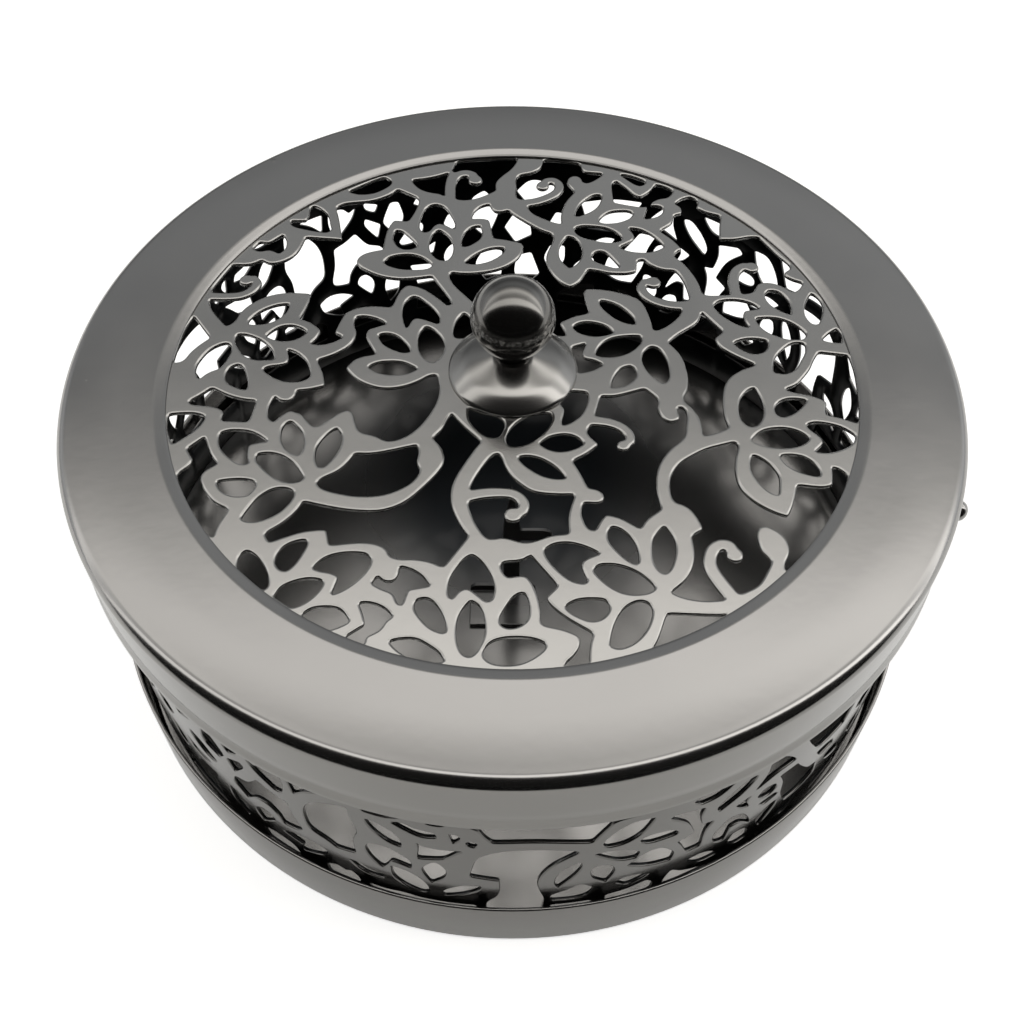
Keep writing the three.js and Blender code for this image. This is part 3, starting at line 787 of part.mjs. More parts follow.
// Knob ball with its neck, bored for the screw
function knobBall() {
  const centre = panel_top + ball_height;
  const neck_foot = panel_top + neck_height;
  const meet = THREE.MathUtils.radToDeg(Math.acos(neck_radius / ball_radius));
  const bore_radius = screw_radius + seat_gap;
  const bore_top = panel_top + screw_depth + seat_gap;
  const profile = [
    [bore_radius, neck_foot],
    [neck_radius, neck_foot],
    ...arc(0, centre, ball_radius, -meet, 90, bend_steps * 2).slice(0, -1),
    [0, centre + ball_radius],
    [0, bore_top],
    [bore_radius, bore_top],
  ];
  return turned(profile, small_steps);
}

// Knob rose: a pressed flared cup under the knob
function knobRose() {
  const foot = panel_top + seat_gap;
  const bore_radius = screw_radius + seat_gap;
  const profile = [
    [rose_radius, foot],
    [rose_radius, panel_top + rose_edge_height],
    [(rose_radius + rose_shoulder_radius) / 2, panel_top + (rose_edge_height + 2 * rose_shoulder_height) / 3],
    [rose_shoulder_radius, panel_top + rose_shoulder_height],
    [rose_collar_radius, panel_top + rose_collar_height],
    [bore_radius, panel_top + rose_collar_height],
    [bore_radius, panel_top + rose_collar_height - rose_sheet],
    [rose_collar_radius, panel_top + rose_collar_height - rose_sheet],
    [rose_shoulder_radius, panel_top + rose_shoulder_height - rose_sheet],
    [rose_radius - rose_sheet, foot],
  ];
  return turned(profile, small_steps);
}

// Washer under the panel
function knobWasher() {
  const top = panel_under - seat_gap;
  const bore_radius = screw_radius + seat_gap;
  return turned([
    [bore_radius, top - washer_sheet],
    [washer_radius, top - washer_sheet],
    [washer_radius, top],
    [bore_radius, top],
  ], small_steps);
}

// Slotted screw that holds the knob from below
function knobScrew() {
  const head_top = panel_under - washer_sheet - 2 * seat_gap;
  const head_foot = head_top - screw_head_height;
  const body = turned([
    [0, head_foot],
    [screw_head_radius - screw_slot_depth / 2, head_foot],
    [screw_head_radius, head_foot + screw_slot_depth / 2],
    [screw_head_radius, head_top],
    [screw_radius, head_top],
    [screw_radius, panel_top + screw_depth],
    [0, panel_top + screw_depth],
  ], small_steps);
  const reach = screw_head_radius + overrun;
  const half = screw_slot_width / 2;
  const slot = plate([
    [-reach, -half],
    [reach, -half],
    [reach, half],
    [-reach, half],
  ], head_foot - overrun, head_foot + screw_slot_depth);
  return body.subtract(slot);
}

// A shape turned about Z is laid on the skirt at the stud's place, pointing outwards
function onSkirt(profile, steps) {
  const points = profile.map(([radius, height]) => new THREE.Vector2(radius, height));
  points.push(points[0].clone());
  const geometry = new THREE.LatheGeometry(points, steps);
  geometry.rotateZ(-Math.PI / 2);
  geometry.translate(rim_radius, 0, rim_top - stud_drop);
  geometry.rotateZ(THREE.MathUtils.degToRad(stud_angle));
  return solid(geometry);
}

// The stud's shank, also used to pierce the skirt
function studShank(radius) {
  const reach = rim_sheet + overrun;
  return onSkirt([[0, -reach], [radius, -reach], [radius, reach], [0, reach]], tiny_steps);
}

// Stud: a domed head outside the skirt, a shank through it and a flat tail inside
function skirtStud() {
  const seat = rim_flare + seat_gap;
  const tail = -rim_sheet - rest_gap;
  return onSkirt([
    [0, tail - stud_tail_height],
    [stud_tail_radius, tail - stud_tail_height],
    [stud_tail_radius, tail],
    [stud_shank_radius, tail],
    [stud_shank_radius, seat],
    [stud_head_radius, seat],
    [stud_brow_radius, seat + stud_brow_height],
    [0, seat + stud_head_height],
  ], tiny_steps);
}

const holder = new THREE.Group();
const box = new THREE.Group();
const lid = new THREE.Group();
const knob = new THREE.Group();
box.add(named('base_pan', basePan(), coating));
box.add(named('wall_strip', wallStrip(), coated_wall));
box.add(named('top_band', topBand(), coating));
box.add(named('coil_stand', coilStand(), coating));
lid.add(named('lid_rim', lidRim(), coating));
lid.add(named('lid_panel', lidPanel(), coated_panel));
lid.add(named('skirt_stud', skirtStud(), coating));
knob.add(named('knob_ball', knobBall(), polished_knob));
knob.add(named('knob_rose', knobRose(), coating));
knob.add(named('knob_washer', knobWasher(), plated_screw));
knob.add(named('knob_screw', knobScrew(), plated_screw));
holder.add(box, lid, knob);

export default holder;
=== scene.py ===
import math

import bmesh
import bpy
import numpy as np
from mathutils import Matrix, Vector
from mathutils.geometry import delaunay_2d_cdt
from mathutils.kdtree import KDTree


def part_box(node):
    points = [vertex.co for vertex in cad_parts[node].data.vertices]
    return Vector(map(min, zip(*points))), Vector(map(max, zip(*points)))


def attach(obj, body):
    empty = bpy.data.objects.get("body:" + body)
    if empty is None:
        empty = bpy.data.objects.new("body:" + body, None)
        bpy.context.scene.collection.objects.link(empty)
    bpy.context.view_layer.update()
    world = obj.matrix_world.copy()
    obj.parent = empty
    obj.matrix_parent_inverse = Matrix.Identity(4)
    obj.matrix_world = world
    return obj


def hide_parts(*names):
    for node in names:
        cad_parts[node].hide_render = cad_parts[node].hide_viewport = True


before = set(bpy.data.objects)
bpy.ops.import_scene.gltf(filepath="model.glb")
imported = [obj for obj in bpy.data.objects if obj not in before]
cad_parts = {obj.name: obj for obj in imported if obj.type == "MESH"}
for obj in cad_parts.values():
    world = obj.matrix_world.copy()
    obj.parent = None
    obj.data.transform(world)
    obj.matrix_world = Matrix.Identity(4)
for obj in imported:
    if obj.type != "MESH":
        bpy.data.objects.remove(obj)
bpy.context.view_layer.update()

MM = 0.001


# Camera. A 42 mm lens looks down at 53 degrees from in front, as in the photograph.
panel_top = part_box("lid_panel")[1].z
unit = 73.0 * MM
elevation = math.radians(53.04)
distance = 3.145 * unit
aim_drop = 0.535 * unit
lens_mm = 42.19
sensor_mm = 36.0
roll = math.radians(0.293)

camera_data = bpy.data.cameras.new("camera")
camera_data.lens = lens_mm
camera_data.sensor_width = sensor_mm
camera_data.clip_start = 0.01
camera = bpy.data.objects.new("camera", camera_data)
camera_up = Vector((0, math.sin(elevation), math.cos(elevation)))
camera_back = Vector((0, -math.cos(elevation), math.sin(elevation)))
turn = Matrix((Vector((1, 0, 0)), camera_up, camera_back)).transposed().to_4x4()
aim = Vector((0, 0, panel_top - aim_drop))
camera_place = Matrix.Translation(aim + camera_back * distance)
camera.matrix_world = camera_place @ turn @ Matrix.Rotation(roll, 4, "Z")
bpy.context.scene.collection.objects.link(camera)
bpy.context.scene.camera = camera
bpy.context.scene.view_settings.view_transform = "Standard"


def linear(hex_colour):
    """An sRGB hex colour as linear RGBA."""
    parts = [int(hex_colour[i:i + 2], 16) / 255 for i in (1, 3, 5)]
    return tuple(
        part / 12.92 if part <= 0.04045 else ((part + 0.055) / 1.055) ** 2.4 for part in parts
    ) + (1.0,)


def add_node(tree, kind, settings=None, inputs=None):
    """Adds a node, sets its properties, and links or sets its inputs."""
    node = tree.nodes.new(kind)
    for key, value in (settings or {}).items():
        setattr(node, key, value)
    for socket, source in (inputs or {}).items():
        if isinstance(source, bpy.types.NodeSocket):
            tree.links.new(source, node.inputs[socket])
        else:
            node.inputs[socket].default_value = source
    return node


def new_material(name):
    """An empty node material and its node tree."""
    material = bpy.data.materials.new(name)
    material.use_nodes = True
    material.node_tree.nodes.clear()
    return material, material.node_tree


# Floor. Pale matt paper, which turns white to the camera and keeps the object's soft shadow.
# In reflections it glows, less in front of the object than beside and behind it.
floor_colour = "#E4E4E2"
floor_half = 30.0
floor_white = 0.75
front_shine, side_shine = 0.057, 0.36
shine_from, shine_to = -105 * MM, -20 * MM
floor_material, tree = new_material("matt paper")
paper = add_node(tree, "ShaderNodeBsdfDiffuse", None, {"Color": linear(floor_colour)})
rays = add_node(tree, "ShaderNodeLightPath")
place = add_node(tree, "ShaderNodeTexCoord").outputs["Object"]
along = add_node(tree, "ShaderNodeSeparateXYZ", None, {0: place})
graded = add_node(tree, "ShaderNodeMapRange", {"interpolation_type": "SMOOTHSTEP"},
                  {0: along.outputs[1], 1: shine_from, 2: shine_to, 3: front_shine, 4: side_shine})
shine = add_node(tree, "ShaderNodeMath", {"operation": "MULTIPLY"},
                 {0: rays.outputs["Is Glossy Ray"], 1: graded.outputs[0]})
lift = add_node(tree, "ShaderNodeMath", {"operation": "MULTIPLY_ADD"},
                {0: rays.outputs["Is Camera Ray"], 1: floor_white, 2: shine.outputs[0]})
glow = add_node(tree, "ShaderNodeEmission", None,
                {"Color": linear("#FFFFFF"), "Strength": lift.outputs[0]})
both = add_node(tree, "ShaderNodeAddShader", None, {0: paper.outputs[0], 1: glow.outputs[0]})
add_node(tree, "ShaderNodeOutputMaterial", None, {"Surface": both.outputs[0]})
floor_mesh = bpy.data.meshes.new("floor")
corners = [(-floor_half, -floor_half, 0), (floor_half, -floor_half, 0),
           (floor_half, floor_half, 0), (-floor_half, floor_half, 0)]
floor_mesh.from_pydata(corners, [], [(0, 1, 2, 3)])
floor_mesh.materials.append(floor_material)
floor = bpy.data.objects.new("floor", floor_mesh)
bpy.context.scene.collection.objects.link(floor)

# World. A bright room behind the object and over it, a strip light just past overhead, and a
# dark room in front, white to the camera. Each stop is an angle up from the back horizon and
# the brightness there.
sky_stops = [(0, 0.28), (18, 0.15), (30, 0.31), (38, 0.39), (46, 0.26), (53, 0.65), (59, 1.5),
             (64, 1.42), (70, 0.85), (77, 0.52), (83, 0.6), (86, 1.8), (101, 1.8), (105, 0.05),
             (120, 0.005), (180, 0.005)]
brightest = 1.8
warm_from, warm_tint, cool_tint = 50, (1.0, 0.975, 0.93), (0.97, 0.99, 1.0)

# The right is brighter than the left, and pale walls stand at both sides behind the object.
right_share = 0.3
side_from, side_to, side_level = 0.45, 0.85, 0.35
front_dark, back_lit = -0.25, 0.1
world = bpy.data.worlds.new("room")
world.use_nodes = True
tree = world.node_tree
tree.nodes.clear()
rays = add_node(tree, "ShaderNodeLightPath")
direction = add_node(tree, "ShaderNodeTexCoord").outputs["Generated"]
rightward, backward, upward = add_node(tree, "ShaderNodeSeparateXYZ", None, {0: direction}).outputs
over = add_node(tree, "ShaderNodeMath", {"operation": "ARCTAN2"}, {0: upward, 1: backward})
turned = add_node(tree, "ShaderNodeMath", {"operation": "DIVIDE"}, {0: over.outputs[0], 1: math.pi})
sky = add_node(tree, "ShaderNodeValToRGB", None, {0: turned.outputs[0]})
for number, (degrees, brightness) in enumerate(sky_stops):
    shade = brightness / brightest
    if number < 2:
        stop = sky.color_ramp.elements[number]
        stop.position = degrees / 180
    else:
        stop = sky.color_ramp.elements.new(degrees / 180)
    tint = warm_tint if degrees >= warm_from else cool_tint
    stop.color = tuple(shade * part for part in tint) + (1.0,)
slant = add_node(tree, "ShaderNodeMath", {"operation": "MULTIPLY_ADD"},
                 {0: rightward, 1: right_share * brightest, 2: brightest})
sideways = add_node(tree, "ShaderNodeMath", {"operation": "ABSOLUTE"}, {0: rightward})
sides = add_node(tree, "ShaderNodeMapRange", {"interpolation_type": "SMOOTHSTEP"},
                 {0: sideways.outputs[0], 1: side_from, 2: side_to, 3: 0.0, 4: side_level})
behind = add_node(tree, "ShaderNodeMapRange", {"interpolation_type": "SMOOTHSTEP"},
                  {0: backward, 1: front_dark, 2: back_lit, 3: 0.0, 4: 1.0})
walls = add_node(tree, "ShaderNodeMath", {"operation": "MULTIPLY"},
                 {0: sides.outputs[0], 1: behind.outputs[0]})
lit = add_node(tree, "ShaderNodeVectorMath", {"operation": "SCALE"},
               {0: sky.outputs[0], 3: slant.outputs[0]})
level = add_node(tree, "ShaderNodeVectorMath", {"operation": "ADD"},
                 {0: lit.outputs[0], 1: walls.outputs[0]})
room = add_node(tree, "ShaderNodeBackground", None, {"Color": level.outputs[0], "Strength": 1.0})
backdrop = add_node(tree, "ShaderNodeBackground", None,
                    {"Color": linear("#FFFFFF"), "Strength": 1.0})
mixed = add_node(tree, "ShaderNodeMixShader", None,
                 {0: rays.outputs["Is Camera Ray"], 1: room.outputs[0], 2: backdrop.outputs[0]})
add_node(tree, "ShaderNodeOutputWorld", None, {"Surface": mixed.outputs[0]})
bpy.context.scene.world = world


def dark_card(name, corners):
    """A black card that only reflections see, as a photographer places beside a shiny object."""
    material, tree = new_material(name)
    black = add_node(tree, "ShaderNodeBsdfDiffuse", None, {"Color": linear("#0C0C0C")})
    add_node(tree, "ShaderNodeOutputMaterial", None, {"Surface": black.outputs[0]})
    mesh = bpy.data.meshes.new(name)
    mesh.from_pydata(corners, [], [(0, 1, 2, 3)])
    mesh.materials.append(material)
    card = bpy.data.objects.new(name, mesh)
    card.visible_camera = False
    card.visible_diffuse = False
    card.visible_shadow = False
    bpy.context.scene.collection.objects.link(card)


# Card. The dark table in front of the white paper.
card_edge = -142 * MM
card_lift = 3 * MM
dark_card("table card", [
    (-floor_half, -floor_half, card_lift), (floor_half, -floor_half, card_lift),
    (floor_half, card_edge, card_lift), (-floor_half, card_edge, card_lift),
])


# Pearl lacquer. Steel sheet sprayed with a dark grey metallic lacquer: a soft mirror with faint
# clouds in its tone, faint orange peel, and a few dust grains under the coat.
cloud_size, cloud_gain = 18.18 * MM, 1.12
cloud_low, cloud_high = 0.3, 0.7
smoother_by, rougher_by = 0.02, 0.03
ripple_size, ripple_depth = 2.381 * MM, 0.04 * MM
grain_gap, grain_share = 7.692 * MM, 0.93
grain_core, grain_edge, grain_height = 0.03, 0.07, 6.0
metal_share = 0.97
coat_roughness = 0.09
dulled_roughness = 0.33


def pearl_lacquer(name, colour, roughness, peel, coat, shade_colour=None, fade=None, shift=0.0):
    """Where there is a shade colour, it is painted shade: the lacquer is darker there, and
    duller too, and gives way between the two radii of fade, in millimetres round a centre that lies
    shift millimetres behind the middle."""
    material, tree = new_material(name)
    place = add_node(tree, "ShaderNodeTexCoord").outputs["Object"]
    cloud = add_node(tree, "ShaderNodeTexNoise", None,
                     {"Vector": place, "Scale": 1 / cloud_size, "Detail": 3.0})
    base = linear(colour)
    tone = add_node(tree, "ShaderNodeMix", {"data_type": "RGBA"}, {
        0: cloud.outputs["Fac"],
        6: base,
        7: tuple(min(1.0, part * cloud_gain) for part in base[:3]) + (1.0,),
    })
    coated = tone.outputs[2]
    rough = add_node(tree, "ShaderNodeMapRange", None, {
        0: cloud.outputs["Fac"],
        1: cloud_low,
        2: cloud_high,
        3: roughness - smoother_by,
        4: roughness + rougher_by,
    }).outputs[0]
    # Painted shade: inside the fade the colour turns to the shade colour, and the roughness rises.
    if shade_colour:
        flat = add_node(tree, "ShaderNodeVectorMath", {"operation": "MULTIPLY_ADD"},
                        {0: place, 1: (1, 1, 0), 2: (0, -shift * MM, 0)})
        radius = add_node(tree, "ShaderNodeVectorMath", {"operation": "LENGTH"},
                          {0: flat.outputs[0]})
        reach = add_node(tree, "ShaderNodeMapRange", {"interpolation_type": "SMOOTHSTEP"},
                         {0: radius.outputs["Value"], 1: fade[0] * MM, 2: fade[1] * MM})
        coated = add_node(tree, "ShaderNodeMix", {"data_type": "RGBA"},
                          {0: reach.outputs[0], 6: linear(shade_colour), 7: coated}).outputs[2]
        rough = add_node(tree, "ShaderNodeMix", None,
                         {0: reach.outputs[0], 2: dulled_roughness, 3: rough}).outputs[0]
    grains = add_node(tree, "ShaderNodeTexVoronoi", None,
                      {"Vector": place, "Scale": 1 / grain_gap, "Randomness": 1.0})
    chosen = add_node(tree, "ShaderNodeSeparateColor", None, {0: grains.outputs["Color"]})
    rare = add_node(tree, "ShaderNodeMath", {"operation": "GREATER_THAN"},
                    {0: chosen.outputs[0], 1: grain_share})
    small = add_node(tree, "ShaderNodeMapRange", None,
                     {0: grains.outputs["Distance"], 1: grain_core, 2: grain_edge, 3: 1.0, 4: 0.0})
    dust = add_node(tree, "ShaderNodeMath", {"operation": "MULTIPLY"},
                    {0: rare.outputs[0], 1: small.outputs[0]})
    ripple = add_node(tree, "ShaderNodeTexNoise", None,
                      {"Vector": place, "Scale": 1 / ripple_size, "Detail": 2.0})
    height = add_node(tree, "ShaderNodeMath", {"operation": "MULTIPLY_ADD"},
                      {0: dust.outputs[0], 1: grain_height, 2: ripple.outputs["Fac"]})
    bump = add_node(tree, "ShaderNodeBump", None,
                    {"Strength": peel, "Distance": ripple_depth, "Height": height.outputs[0]})
    lacquer = add_node(tree, "ShaderNodeBsdfPrincipled", None, {
        "Base Color": coated,
        "Metallic": metal_share,
        "Roughness": rough,
        "Normal": bump.outputs[0],
        "Coat Weight": coat,
        "Coat Roughness": coat_roughness,
    })
    add_node(tree, "ShaderNodeOutputMaterial", None, {"Surface": lacquer.outputs[0]})
    return material


def smooth_mesh(mesh, sharp_degrees=38.0):
    """Smooth shading, broken at edges that bend more than the given angle."""
    form = bmesh.new()
    form.from_mesh(mesh)
    limit = math.radians(sharp_degrees)
    for edge in form.edges:
        edge.smooth = len(edge.link_faces) == 2 and edge.calc_face_angle(0) < limit
    for face in form.faces:
        face.smooth = True
    form.to_mesh(mesh)
    form.free()


def finish_piece(piece, body, node):
    """Rides the piece on its body and hides the solid that it stands for."""
    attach(piece, body)
    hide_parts(node)


# Base pan. A round pan pressed from steel sheet, with a soft lower corner and a rolled
# top edge, lacquered inside and out. Its floor has painted shade: darker, and duller too, behind
# the middle.
weld_gap = 0.002 * MM


def turning_tree():
    """Geometry Nodes: turns a row of profile points about Z into a smooth round piece."""
    tree = bpy.data.node_groups.new("turned sheet", "GeometryNodeTree")
    tree.interface.new_socket("Profile", in_out="INPUT", socket_type="NodeSocketGeometry")
    steps_socket = tree.interface.new_socket(
        "Steps round", in_out="INPUT", socket_type="NodeSocketInt")
    finish_socket = tree.interface.new_socket(
        "Finish", in_out="INPUT", socket_type="NodeSocketMaterial")
    tree.interface.new_socket("Piece", in_out="OUTPUT", socket_type="NodeSocketGeometry")
    given = add_node(tree, "NodeGroupInput")
    count = add_node(tree, "GeometryNodeAttributeDomainSize", {"component": "MESH"},
                     {"Geometry": given.outputs["Profile"]}).outputs["Point Count"]
    columns = add_node(tree, "ShaderNodeMath", {"operation": "ADD"},
                       {0: given.outputs["Steps round"], 1: 1.0})
    grid = add_node(tree, "GeometryNodeMeshGrid", None,
                    {"Vertices X": columns.outputs[0], "Vertices Y": count})
    index = add_node(tree, "GeometryNodeInputIndex").outputs[0]
    row = add_node(tree, "ShaderNodeMath", {"operation": "FLOORED_MODULO"}, {0: index, 1: count})
    share = add_node(tree, "ShaderNodeMath", {"operation": "DIVIDE"}, {0: index, 1: count})
    column = add_node(tree, "ShaderNodeMath", {"operation": "FLOOR"}, {0: share.outputs[0]})
    turn = add_node(tree, "ShaderNodeMath", {"operation": "DIVIDE"},
                    {0: column.outputs[0], 1: given.outputs["Steps round"]})
    angle = add_node(tree, "ShaderNodeMath", {"operation": "MULTIPLY"},
                     {0: turn.outputs[0], 1: math.tau})
    place = add_node(tree, "GeometryNodeInputPosition")
    point = add_node(tree, "GeometryNodeSampleIndex", {"data_type": "FLOAT_VECTOR"}, {
        "Geometry": given.outputs["Profile"], "Value": place.outputs[0], "Index": row.outputs[0],
    })
    spun = add_node(tree, "ShaderNodeVectorRotate", {"rotation_type": "Z_AXIS"},
                    {"Vector": point.outputs[0], "Angle": angle.outputs[0]})
    moved = add_node(tree, "GeometryNodeSetPosition", None,
                     {"Geometry": grid.outputs[0], "Position": spun.outputs[0]})
    merged = add_node(tree, "GeometryNodeMergeByDistance", None,
                      {"Geometry": moved.outputs[0], "Distance": weld_gap})
    real = add_node(tree, "GeometryNodeRealizeInstances", None, {0: merged.outputs[0]})
    done = add_node(tree, "GeometryNodeSetMaterial", None,
                    {"Geometry": real.outputs[0], "Material": given.outputs["Finish"]})
    add_node(tree, "NodeGroupOutput", None, {0: done.outputs[0]})
    return tree, steps_socket.identifier, finish_socket.identifier


turned_tree, steps_input, finish_input = turning_tree()


def plain_mesh(piece):
    """Replaces the piece's modifiers by their result."""
    evaluated = piece.evaluated_get(bpy.context.evaluated_depsgraph_get())
    mesh = bpy.data.meshes.new_from_object(evaluated)
    piece.modifiers.clear()
    piece.data = mesh
    return mesh


def turned_piece(name, profile, steps, material):
    """A round piece from a closed row of (radius, height) points in millimetres. The row runs
    anticlockwise, with the radius to the right, so that the faces look outwards."""
    mesh = bpy.data.meshes.new(name)
    mesh.from_pydata([(r * MM, 0, z * MM) for r, z in profile + profile[:1]], [], [])
    piece = bpy.data.objects.new(name, mesh)
    bpy.context.scene.collection.objects.link(piece)
    turning = piece.modifiers.new("turning", "NODES")
    turning.node_group = turned_tree
    turning[steps_input] = steps
    turning[finish_input] = material
    smooth_mesh(plain_mesh(piece))
    return piece


def bend(r, z, radius, start, end, steps=6):
    """Points of an arc round (r, z), from one angle to another in degrees."""
    turns = [math.radians(start + (end - start) * i / steps) for i in range(steps + 1)]
    return [(r + radius * math.cos(t), z + radius * math.sin(t)) for t in turns]


soft_peel, soft_coat = 0.25, 0.4
# Painted shade inside the box: the pan's floor, and the stand on it, are darker and duller within
# these radii round a centre behind the middle.
shade_and_dull_fade, shade_and_dull_shift = (16, 52), 24.0
box_lacquer = pearl_lacquer("dark pearl lacquer on the box", "#979695", 0.18, soft_peel, soft_coat,
                            "#313438", shade_and_dull_fade, shade_and_dull_shift)
lid_lacquer = pearl_lacquer("dark pearl lacquer on the lid", "#A2A1A0", 0.17, soft_peel, soft_coat)

pan_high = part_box("base_pan")[1]
pan_radius = pan_high.x / MM
pan_top = pan_high.z / MM
pan_sheet = 0.7
pan_floor = 0.8
pan_corner = 1.2
pan_inner_corner = 0.6
pan_edge = pan_sheet / 2
pan_profile = (
    [(0.0, 0.0)]
    + bend(pan_radius - pan_corner, pan_corner, pan_corner, -90, 0)
    + bend(pan_radius - pan_edge, pan_top - pan_edge, pan_edge, 0, 180)
    + bend(pan_radius - pan_corner, pan_floor + pan_inner_corner, pan_inner_corner, 0, -90)
    + [(0.0, pan_floor)]
)
base_pan = turned_piece("pressed_base_pan", pan_profile, 192, box_lacquer)
finish_piece(base_pan, "box", "base_pan")


# Wall strip and lid panel. Both are steel sheet with the leaf and vine pattern cut through,
# and lacquered after cutting, so each edge is soft. The outlines come from the solids.
def outline_rings(node, on_face, flat):
    """Closed rings of points round the cut edges of a node's chosen face, laid flat. The faces
    are taken in the mesh's own order, so each ring starts at the same point every time."""
    form = bmesh.new()
    form.from_mesh(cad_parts[node].data)
    bmesh.ops.remove_doubles(form, verts=form.verts, dist=weld_gap)
    faces = [face for face in form.faces if all(on_face(v.co) for v in face.verts)]
    on_side = set(faces)
    following = {}
    for face in faces:
        for loop in face.loops:
            others = [other for other in loop.edge.link_faces if other is not face]
            if not others or others[0] not in on_side:
                following[loop.vert] = loop.link_loop_next.vert
    rings = []
    while following:
        start, step = next(iter(following.items()))
        ring = [start.co.copy()]
        del following[start]
        while step is not start and step in following:
            ring.append(step.co.copy())
            step = following.pop(step)
        rings.append(flat(ring))
    form.free()
    return rings


def even_points(path, spacing):
    """Points spread evenly along an open path, without its last one."""
    steps = np.linalg.norm(np.diff(path, axis=0), axis=1)
    along = np.concatenate([[0], np.cumsum(steps)])
    count = max(2, int(round(along[-1] / spacing)))
    at = np.linspace(0, along[-1], count + 1)[:-1]
    return np.stack([np.interp(at, along, path[:, k]) for k in (0, 1)], 1)


def ring_bends(points):
    """How far a ring of points turns at each point, without sign."""
    before = points - np.roll(points, 1, 0)
    after = np.roll(points, -1, 0) - points
    across = before[:, 0] * after[:, 1] - before[:, 1] * after[:, 0]
    return np.abs(np.arctan2(across, (before * after).sum(1)))


# What counts in a ring: the least step and bend between its points, the least area in square
# millimetres, the steps of each curve, and how many times its width a blur reaches. Nothing is
# divided by less than the last two lengths.
least_step, least_bend, least_area = 0.02, 1.5, 0.6
curve_steps = 8
blur_reach = 2.5
least_curve, least_tangent = 1e-4, 1e-9


def soft_ring(ring, spacing, corner, blur):
    """A ring redrawn as smooth curves between its true corners, with the corners eased."""
    points = np.array(ring)
    points = points[np.linalg.norm(points - np.roll(points, 1, 0), axis=1) > least_step]
    turned = ring_bends(points)
    while len(points) > 3 and turned.min() < math.radians(least_bend):
        points = np.delete(points, turned.argmin(), 0)
        turned = ring_bends(points)
    after = np.roll(points, -1, 0)
    area = np.sum(points[:, 0] * after[:, 1] - after[:, 0] * points[:, 1]) / 2
    if abs(area) < least_area:
        return None
    sharp = turned > math.radians(corner)
    count = len(points)
    path = []
    for i in range(count):
        p0, p1, p2, p3 = (points[(i + k) % count] for k in (-1, 0, 1, 2))
        if sharp[i]:
            p0 = 2 * p1 - p2
        if sharp[(i + 1) % count]:
            p3 = 2 * p2 - p1
        gaps = [max(least_curve, np.linalg.norm(b - a)) ** 0.5
                for a, b in ((p0, p1), (p1, p2), (p2, p3))]
        t0, t1 = 0.0, gaps[0]
        t2 = t1 + gaps[1]
        t3 = t2 + gaps[2]
        for t in np.linspace(t1, t2, curve_steps + 1)[:-1]:
            a1 = (t1 - t) / (t1 - t0) * p0 + (t - t0) / (t1 - t0) * p1
            a2 = (t2 - t) / (t2 - t1) * p1 + (t - t1) / (t2 - t1) * p2
            a3 = (t3 - t) / (t3 - t2) * p2 + (t - t2) / (t3 - t2) * p3
            b1 = (t2 - t) / (t2 - t0) * a1 + (t - t0) / (t2 - t0) * a2
            b2 = (t3 - t) / (t3 - t1) * a2 + (t - t1) / (t3 - t1) * a3
            path.append((t2 - t) / (t2 - t1) * b1 + (t - t1) / (t2 - t1) * b2)
    path = np.array(path + path[:1])
    even = even_points(path, spacing)
    reach = max(1, int(round(blur_reach * blur / spacing)))
    weights = np.exp(-0.5 * (np.arange(-reach, reach + 1) * spacing / blur) ** 2)
    weights /= weights.sum()
    return sum(w * np.roll(even, -k, 0) for w, k in zip(weights, range(-reach, reach + 1)))


def ring_normals(ring):
    """Unit normals on the right of a ring's direction, which is away from the sheet."""
    along = np.roll(ring, -1, 0) - np.roll(ring, 1, 0)
    along /= np.maximum(least_tangent, np.linalg.norm(along, axis=1))[:, None]
    return np.stack([along[:, 1], -along[:, 0]], 1)


def joined_rings(rings):
    """All ring points in one list, with the rows that join neighbours."""
    places, rows = [], []
    for ring in rings:
        start = len(places)
        places += [Vector(point) for point in ring]
        rows += [(start + i, start + (i + 1) % len(ring)) for i in range(len(ring))]
    return places, rows


# How the inset gives way where edges come close: the shares tried, how much of the inset has to
# stay clear, and how borders that still cross are drawn back.
inset_tries = (1.0, 0.8, 0.6, 0.45, 0.3)
clear_share = 0.93
evening_rounds = 3
crossing_rounds, crossing_reach, crossing_cut = 8, 1.5, 0.7
join_gap = 1e-7


def inset_shares(rings, normals, inset):
    """How much of the inset each ring point can take before it meets another edge."""
    tree = KDTree(sum(len(ring) for ring in rings))
    for place in np.concatenate(rings):
        tree.insert((*place, 0.0), 0)
    tree.balance()
    shares = []
    for ring, normal in zip(rings, normals):
        room = np.ones(len(ring))
        for i, (point, away) in enumerate(zip(ring, normal)):
            for share in inset_tries:
                room[i] = share
                nearest = tree.find((*(point - away * inset * share), 0.0))[2]
                if nearest > clear_share * inset * share:
                    break
        for _ in range(evening_rounds):
            room = np.minimum(room, (np.roll(room, 1) + room + np.roll(room, -1)) / 3)
        shares.append(room)
    for _ in range(crossing_rounds):
        moved = [ring - normal * inset * share[:, None]
                 for ring, normal, share in zip(rings, normals, shares)]
        places, rows = joined_rings(moved)
        coords, _, _, vert_ids, _, _ = delaunay_2d_cdt(places, rows, [], 0, join_gap)
        crossings = [np.array(place) for place, ids in zip(coords, vert_ids) if not ids]
        for crossing in crossings:
            for path, share in zip(moved, shares):
                share[np.hypot(*(path - crossing).T) < crossing_reach * inset] *= crossing_cut
        if not crossings:
            break
    return shares


